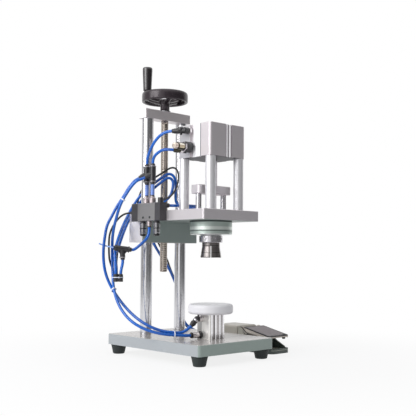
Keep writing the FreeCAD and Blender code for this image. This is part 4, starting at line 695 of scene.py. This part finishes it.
hub = turned("hub", [(9.2, 417.9), (10.2, 418.4), (10.4, 432), (11.6, 437), (13.2, 440), (12.8, 442.6),
                     (11.2, 443.9)], (0, SCREW_Y, 0), WHEEL)
wheel_parts = [wheel_rim(), hub, *(wheel_arm(angle) for angle in (128, 248, 8))]
wheel = carried(joined("handwheel_dished", wheel_parts), "screw")
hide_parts("handwheel")

# The release ring of each push-in fitting, at both ends of each hose
for name, (radius, _, crossing, _) in HOSES.items():
    for end, step in ((0, 1), (-1, -1)):
        inward = lines[name][end + step * 2] - lines[name][end]
        ring = turned(f"{name}_ring_{1 - end}", [(radius + 0.05, -0.3), (radius + 1.5, -0.3),
                                                 (radius + 1.5, 1.1), (radius + 0.9, 1.7),
                                                 (radius + 0.05, 1.7)],
                      lines[name][end] / MM, PLASTIC, 28, inward)
        carried(ring, "stand" if crossing and end == -1 else "carriage")

# Nylon ties round the lifting cylinder's two hoses, and the cut tail of one by the air inlet
high_tie = hose_tie("hose_tie_upper", (-128.2, 132.0, 213.9), (-0.36, 0.37, -0.86), (-2.9, -7.7, -1.4), 7.6,
                    3.7)
carried(high_tie, "carriage")
low_tie = hose_tie("hose_tie_side", (-141.0, 141.6, 26.9), (0.07, -0.5, -0.84), (-5.7, -11.1, 1.7), 9.8, 3.9)
front_tie = hose_tie("hose_tie_front", (-79.8, 20.0, -57.3), (0.885, -0.465, -0.08), (-3.8, -4.7, -4.2), 7.2,
                     3.7)
for tie in (low_tie, front_tie):
    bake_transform(tie)

tail_line = nurbs_line("tie_tail", np.array([(-152.5, 127.5, 113.3), (-149, 140, 114.5), (-148.5, 157, 116.5),
                                             (-151, 168, 119), (-157, 173, 122)]) * MM)
carried(tube("tie_tail", tail_line, 1.5 * MM, TAIL, 8), "carriage")

# Nuts and bright fins on the lifting cylinder's fittings and barrel
elbow_way = np.array((-0.62, 0.30, -0.72))
elbow = np.array((-34.5, 3.0, -29.5))
carried(turned("lift_elbow_nut", [(5.6, 0), (6.8, 0.6), (6.8, 4.0), (5.6, 4.6)], elbow + 1.5 * elbow_way,
               STEEL, 6, elbow_way), "stand")
carried(turned("lift_elbow_collar", [(5.6, 0), (6.3, 0.4), (6.3, 1.6), (5.6, 2)], elbow + 10 * elbow_way,
               PLASTIC, 28, elbow_way), "stand")
for number, x in enumerate((-17.5, -6.5, 5.0, 15.0), 1):
    fin = [(x, -20.3), (x + 1.3, -22.1), (x + 2.6, -22.1), (x + 3.0, -20.3)]
    carried(pressed_out(f"lift_fin_{number}", fin[::-1], -69.8, -20.6, MIRROR), "stand")

# Collars on the hose tees and on the supply tee
for number, y in enumerate((83, 102.5), 1):
    for level in (249.5, 281.0):
        carried(turned(f"tee_collar_{number}_{round(level)}", [(6.2, 0), (7.1, 0.4), (7.1, 1.5), (6.2, 1.9)],
                       (-88, y, level), RING_GREY, 32), "carriage")
tee_way = np.array((-0.8923, 0.4366, 0.1149))
tee_middle = np.array((-136.5, 119.5, 111.3))
for number, reach in enumerate((-14.6, 12.8), 1):
    carried(turned(f"supply_tee_collar_{number}", [(5.4, 0), (6.6, 0.5), (6.6, 1.8), (5.4, 2.3)],
                   tee_middle + reach * tee_way, PLASTIC, 32, tee_way), "carriage")
carried(turned("supply_tee_collar_3", [(5.0, 0), (6.2, 0.5), (6.2, 1.6), (5.0, 2.1)],
               (-136.3, 119.5, 92.6), RING_GREY, 32), "carriage")
web = [(-11, -3.5), (11, -3.5), (3.5, -12.5), (-3.5, -12.5)]
across_web = np.array([tee_middle + u * tee_way + (0, 0, v) for u, v in web])
web_side = np.cross(tee_way, (0, 0, 1)) * 1.6
carried(surface("supply_tee_web", np.array([across_web - web_side, across_web + web_side]) * MM, PLASTIC,
                smooth=False), "carriage")
carried(hose_tie("hose_tie_coupling", (-143.4, 124.8, 53), (0, 0, 1), (0.9, -0.4, 0), 10.6, 11.0, 1.6),
        "carriage")

# The treadle's left arm, its dark edge and its rubber stop
arm = [(55.5, -60.4), (51.5, -60.4), (33.5, -74.2), (37, -74.2)]
edge = [(57.5, -59), (50, -59), (30, -75), (38, -75)]
carried(pressed_out("treadle_arm_edge", edge, 142.9, 143.5, PLASTIC, X), "treadle")
carried(pressed_out("treadle_arm", arm, 142.4, 143.3, BEIGE_ENAMEL, X), "treadle")
carried(turned("treadle_stop", [(2.6, -9.5), (3.6, -8.6), (3.9, -4), (3.9, 1)], (197, -25.5, -73.5), RUBBER,
               28), "treadle")

# The pedal tray's rounded nose with the tips of its side walls, and the skirt of the flow control's knob
carried(pressed_out("pedal_nose", nose_line(13.4)[::-1], -111.9, -105.1, PEDAL_GREEN), "stand")
rim = nose_line(14)[::-1] + nose_line(11.4)
carried(pressed_out("pedal_nose_rim", rim, -111.95, -101.5, PEDAL_GREEN), "stand")
tip = [(5, -86.5), (-21.5, -99.5), (-24, -105.4), (3, -105.4)]
for number, x in enumerate((143.6, 203.1), 1):
    carried(pressed_out(f"pedal_wall_tip_{number}", tip, x, x + 2.8, PEDAL_GREEN, X), "stand")
carried(turned("flow_knob_skirt", [(5.6, 0), (7.0, 0.8), (7.4, 2), (7.4, 6.6), (6.4, 7.8), (4.0, 8.2)],
               (-64.6, 22.5, 350.6), PLASTIC, 28), "carriage")


# Floor, light and camera

# In metres: half the floor's width, and the heights of the mirror cards' lower and upper edges
FLOOR_HALF = 9
CARD_FOOT = -0.11
CARD_HEAD = 1.4
# The camera's sensor in millimetres, and the photo's width and focal length in its pixels
SENSOR_WIDTH = 36
PHOTO_WIDTH = 416
FOCAL_LENGTH = 745.7


def seen_white(make, share=1.0):
    """Gives white light, in the share given, to camera, mirror and glass rays, and the finish to the rest."""
    seen = sum(make.node("ShaderNodeLightPath", out=f"Is {kind} Ray") for kind in
               ("Camera", "Glossy", "Transmission")).at_most(1.0) * share
    kind = "ShaderNodeBackground" if make.shader.type == "BACKGROUND" else "ShaderNodeEmission"
    glow = make.node(kind, {}, {"Color": (1, 1, 1, 1), "Strength": 1.0})
    mixed = make.node("ShaderNodeMixShader", {}, {0: seen, 1: Signal(make, make.shader.outputs[0]), 2: glow})
    make.tree.links.new(mixed.socket, make.end.inputs["Surface"])
    return make.material


def stage_sheet(name, corners, finish):
    """A flat four-cornered sheet of the studio, which isn't part of the machine."""
    mesh = bpy.data.meshes.new(name)
    mesh.from_pydata(corners, [], [(0, 1, 2, 3)])
    mesh.materials.append(finish)
    sheet = bpy.data.objects.new(name, mesh)
    bpy.context.scene.collection.objects.link(sheet)
    return sheet


def mirror_card(name, azimuth, distance, half_width, shade):
    """An upright card, at an angle round the machine, that only shows in polished metal."""
    make = Finish(name)
    make.set(Base_Color=(0, 0, 0, 1), Roughness=1.0, Emission_Color=(shade, shade, shade, 1),
             Emission_Strength=1.0, Specular_IOR_Level=0.0)
    turn = math.radians(azimuth)
    middle = Vector((math.cos(turn), math.sin(turn), 0)) * distance
    side = Vector((-math.sin(turn), math.cos(turn), 0)) * half_width
    foot = Vector((0, 0, CARD_FOOT))
    head = Vector((0, 0, CARD_HEAD))
    card = stage_sheet(name, [middle - side + foot, middle + side + foot, middle + side + head,
                              middle - side + head], make.material)
    card.visible_camera = card.visible_diffuse = card.visible_shadow = card.visible_transmission = False


def soft_lamp(name, place, size, power):
    """A square soft light aimed at the middle of the machine."""
    data = bpy.data.lights.new(name, "AREA")
    data.shape = "SQUARE"
    data.size = size
    data.energy = power
    lamp = bpy.data.objects.new(name, data)
    bpy.context.scene.collection.objects.link(lamp)
    lamp.location = place
    lamp.rotation_euler = (Vector((0, 0.05, 0.15)) - Vector(place)).to_track_quat("-Z", "Y").to_euler()


floor_make = Finish("pale_floor").set(Base_Color=rgb(238, 238, 240), Roughness=0.9)
centre = floor_make.place()
reach = floor_make.node("ShaderNodeVectorMath", {"operation": "LENGTH"}, {0: centre}, 1)
floor_corners = [(FLOOR_HALF * x, FLOOR_HALF * y, BENCH_Z * MM)
                 for x, y in ((-1, -1), (1, -1), (1, 1), (-1, 1))]
stage_sheet("studio_floor", floor_corners, seen_white(floor_make, reach.ease(0.15, 0.8) * 0.17 + 0.83))
mirror_card("card_front", -106, 2.0, 1.16, 0.17)
mirror_card("card_front_right", -59, 2.0, 0.62, 0.12)
mirror_card("card_right", -28, 2.0, 0.5, 0.15)
mirror_card("card_back_left", 136, 2.0, 0.95, 0.45)
mirror_card("card_edge", 167, 1.8, 0.13, 0.22)

soft_lamp("key_light", (-1.7, 0.25, 0.9), 1.3, 26)
soft_lamp("top_light", (-0.1, 0.0, 1.9), 2.0, 10)

world = bpy.data.worlds.new("studio")
bpy.context.scene.world = world
seen_white(Finish("studio", world).set(Color=(0.97, 0.985, 1.0, 1), Strength=0.36))

lens = bpy.data.cameras.new("photo_camera")
lens.lens = SENSOR_WIDTH * FOCAL_LENGTH / PHOTO_WIDTH
lens.sensor_width = SENSOR_WIDTH
lens.clip_start = 0.05
camera = bpy.data.objects.new("photo_camera", lens)
bpy.context.scene.collection.objects.link(camera)
right = Vector((0.7288197, -0.6846837, 0.0054875))
up = Vector((-0.0476737, -0.0427486, 0.9979478))
ahead = Vector((0.6830440, 0.7275856, 0.0637974))
eye = Vector((-1.054889, -1.114338, 0.097970))
turn = Matrix((right, up, -ahead)).transposed().to_4x4()
camera.matrix_world = Matrix.Translation(eye) @ turn
bpy.context.scene.camera = camera
bpy.context.scene.view_settings.view_transform = "Standard"
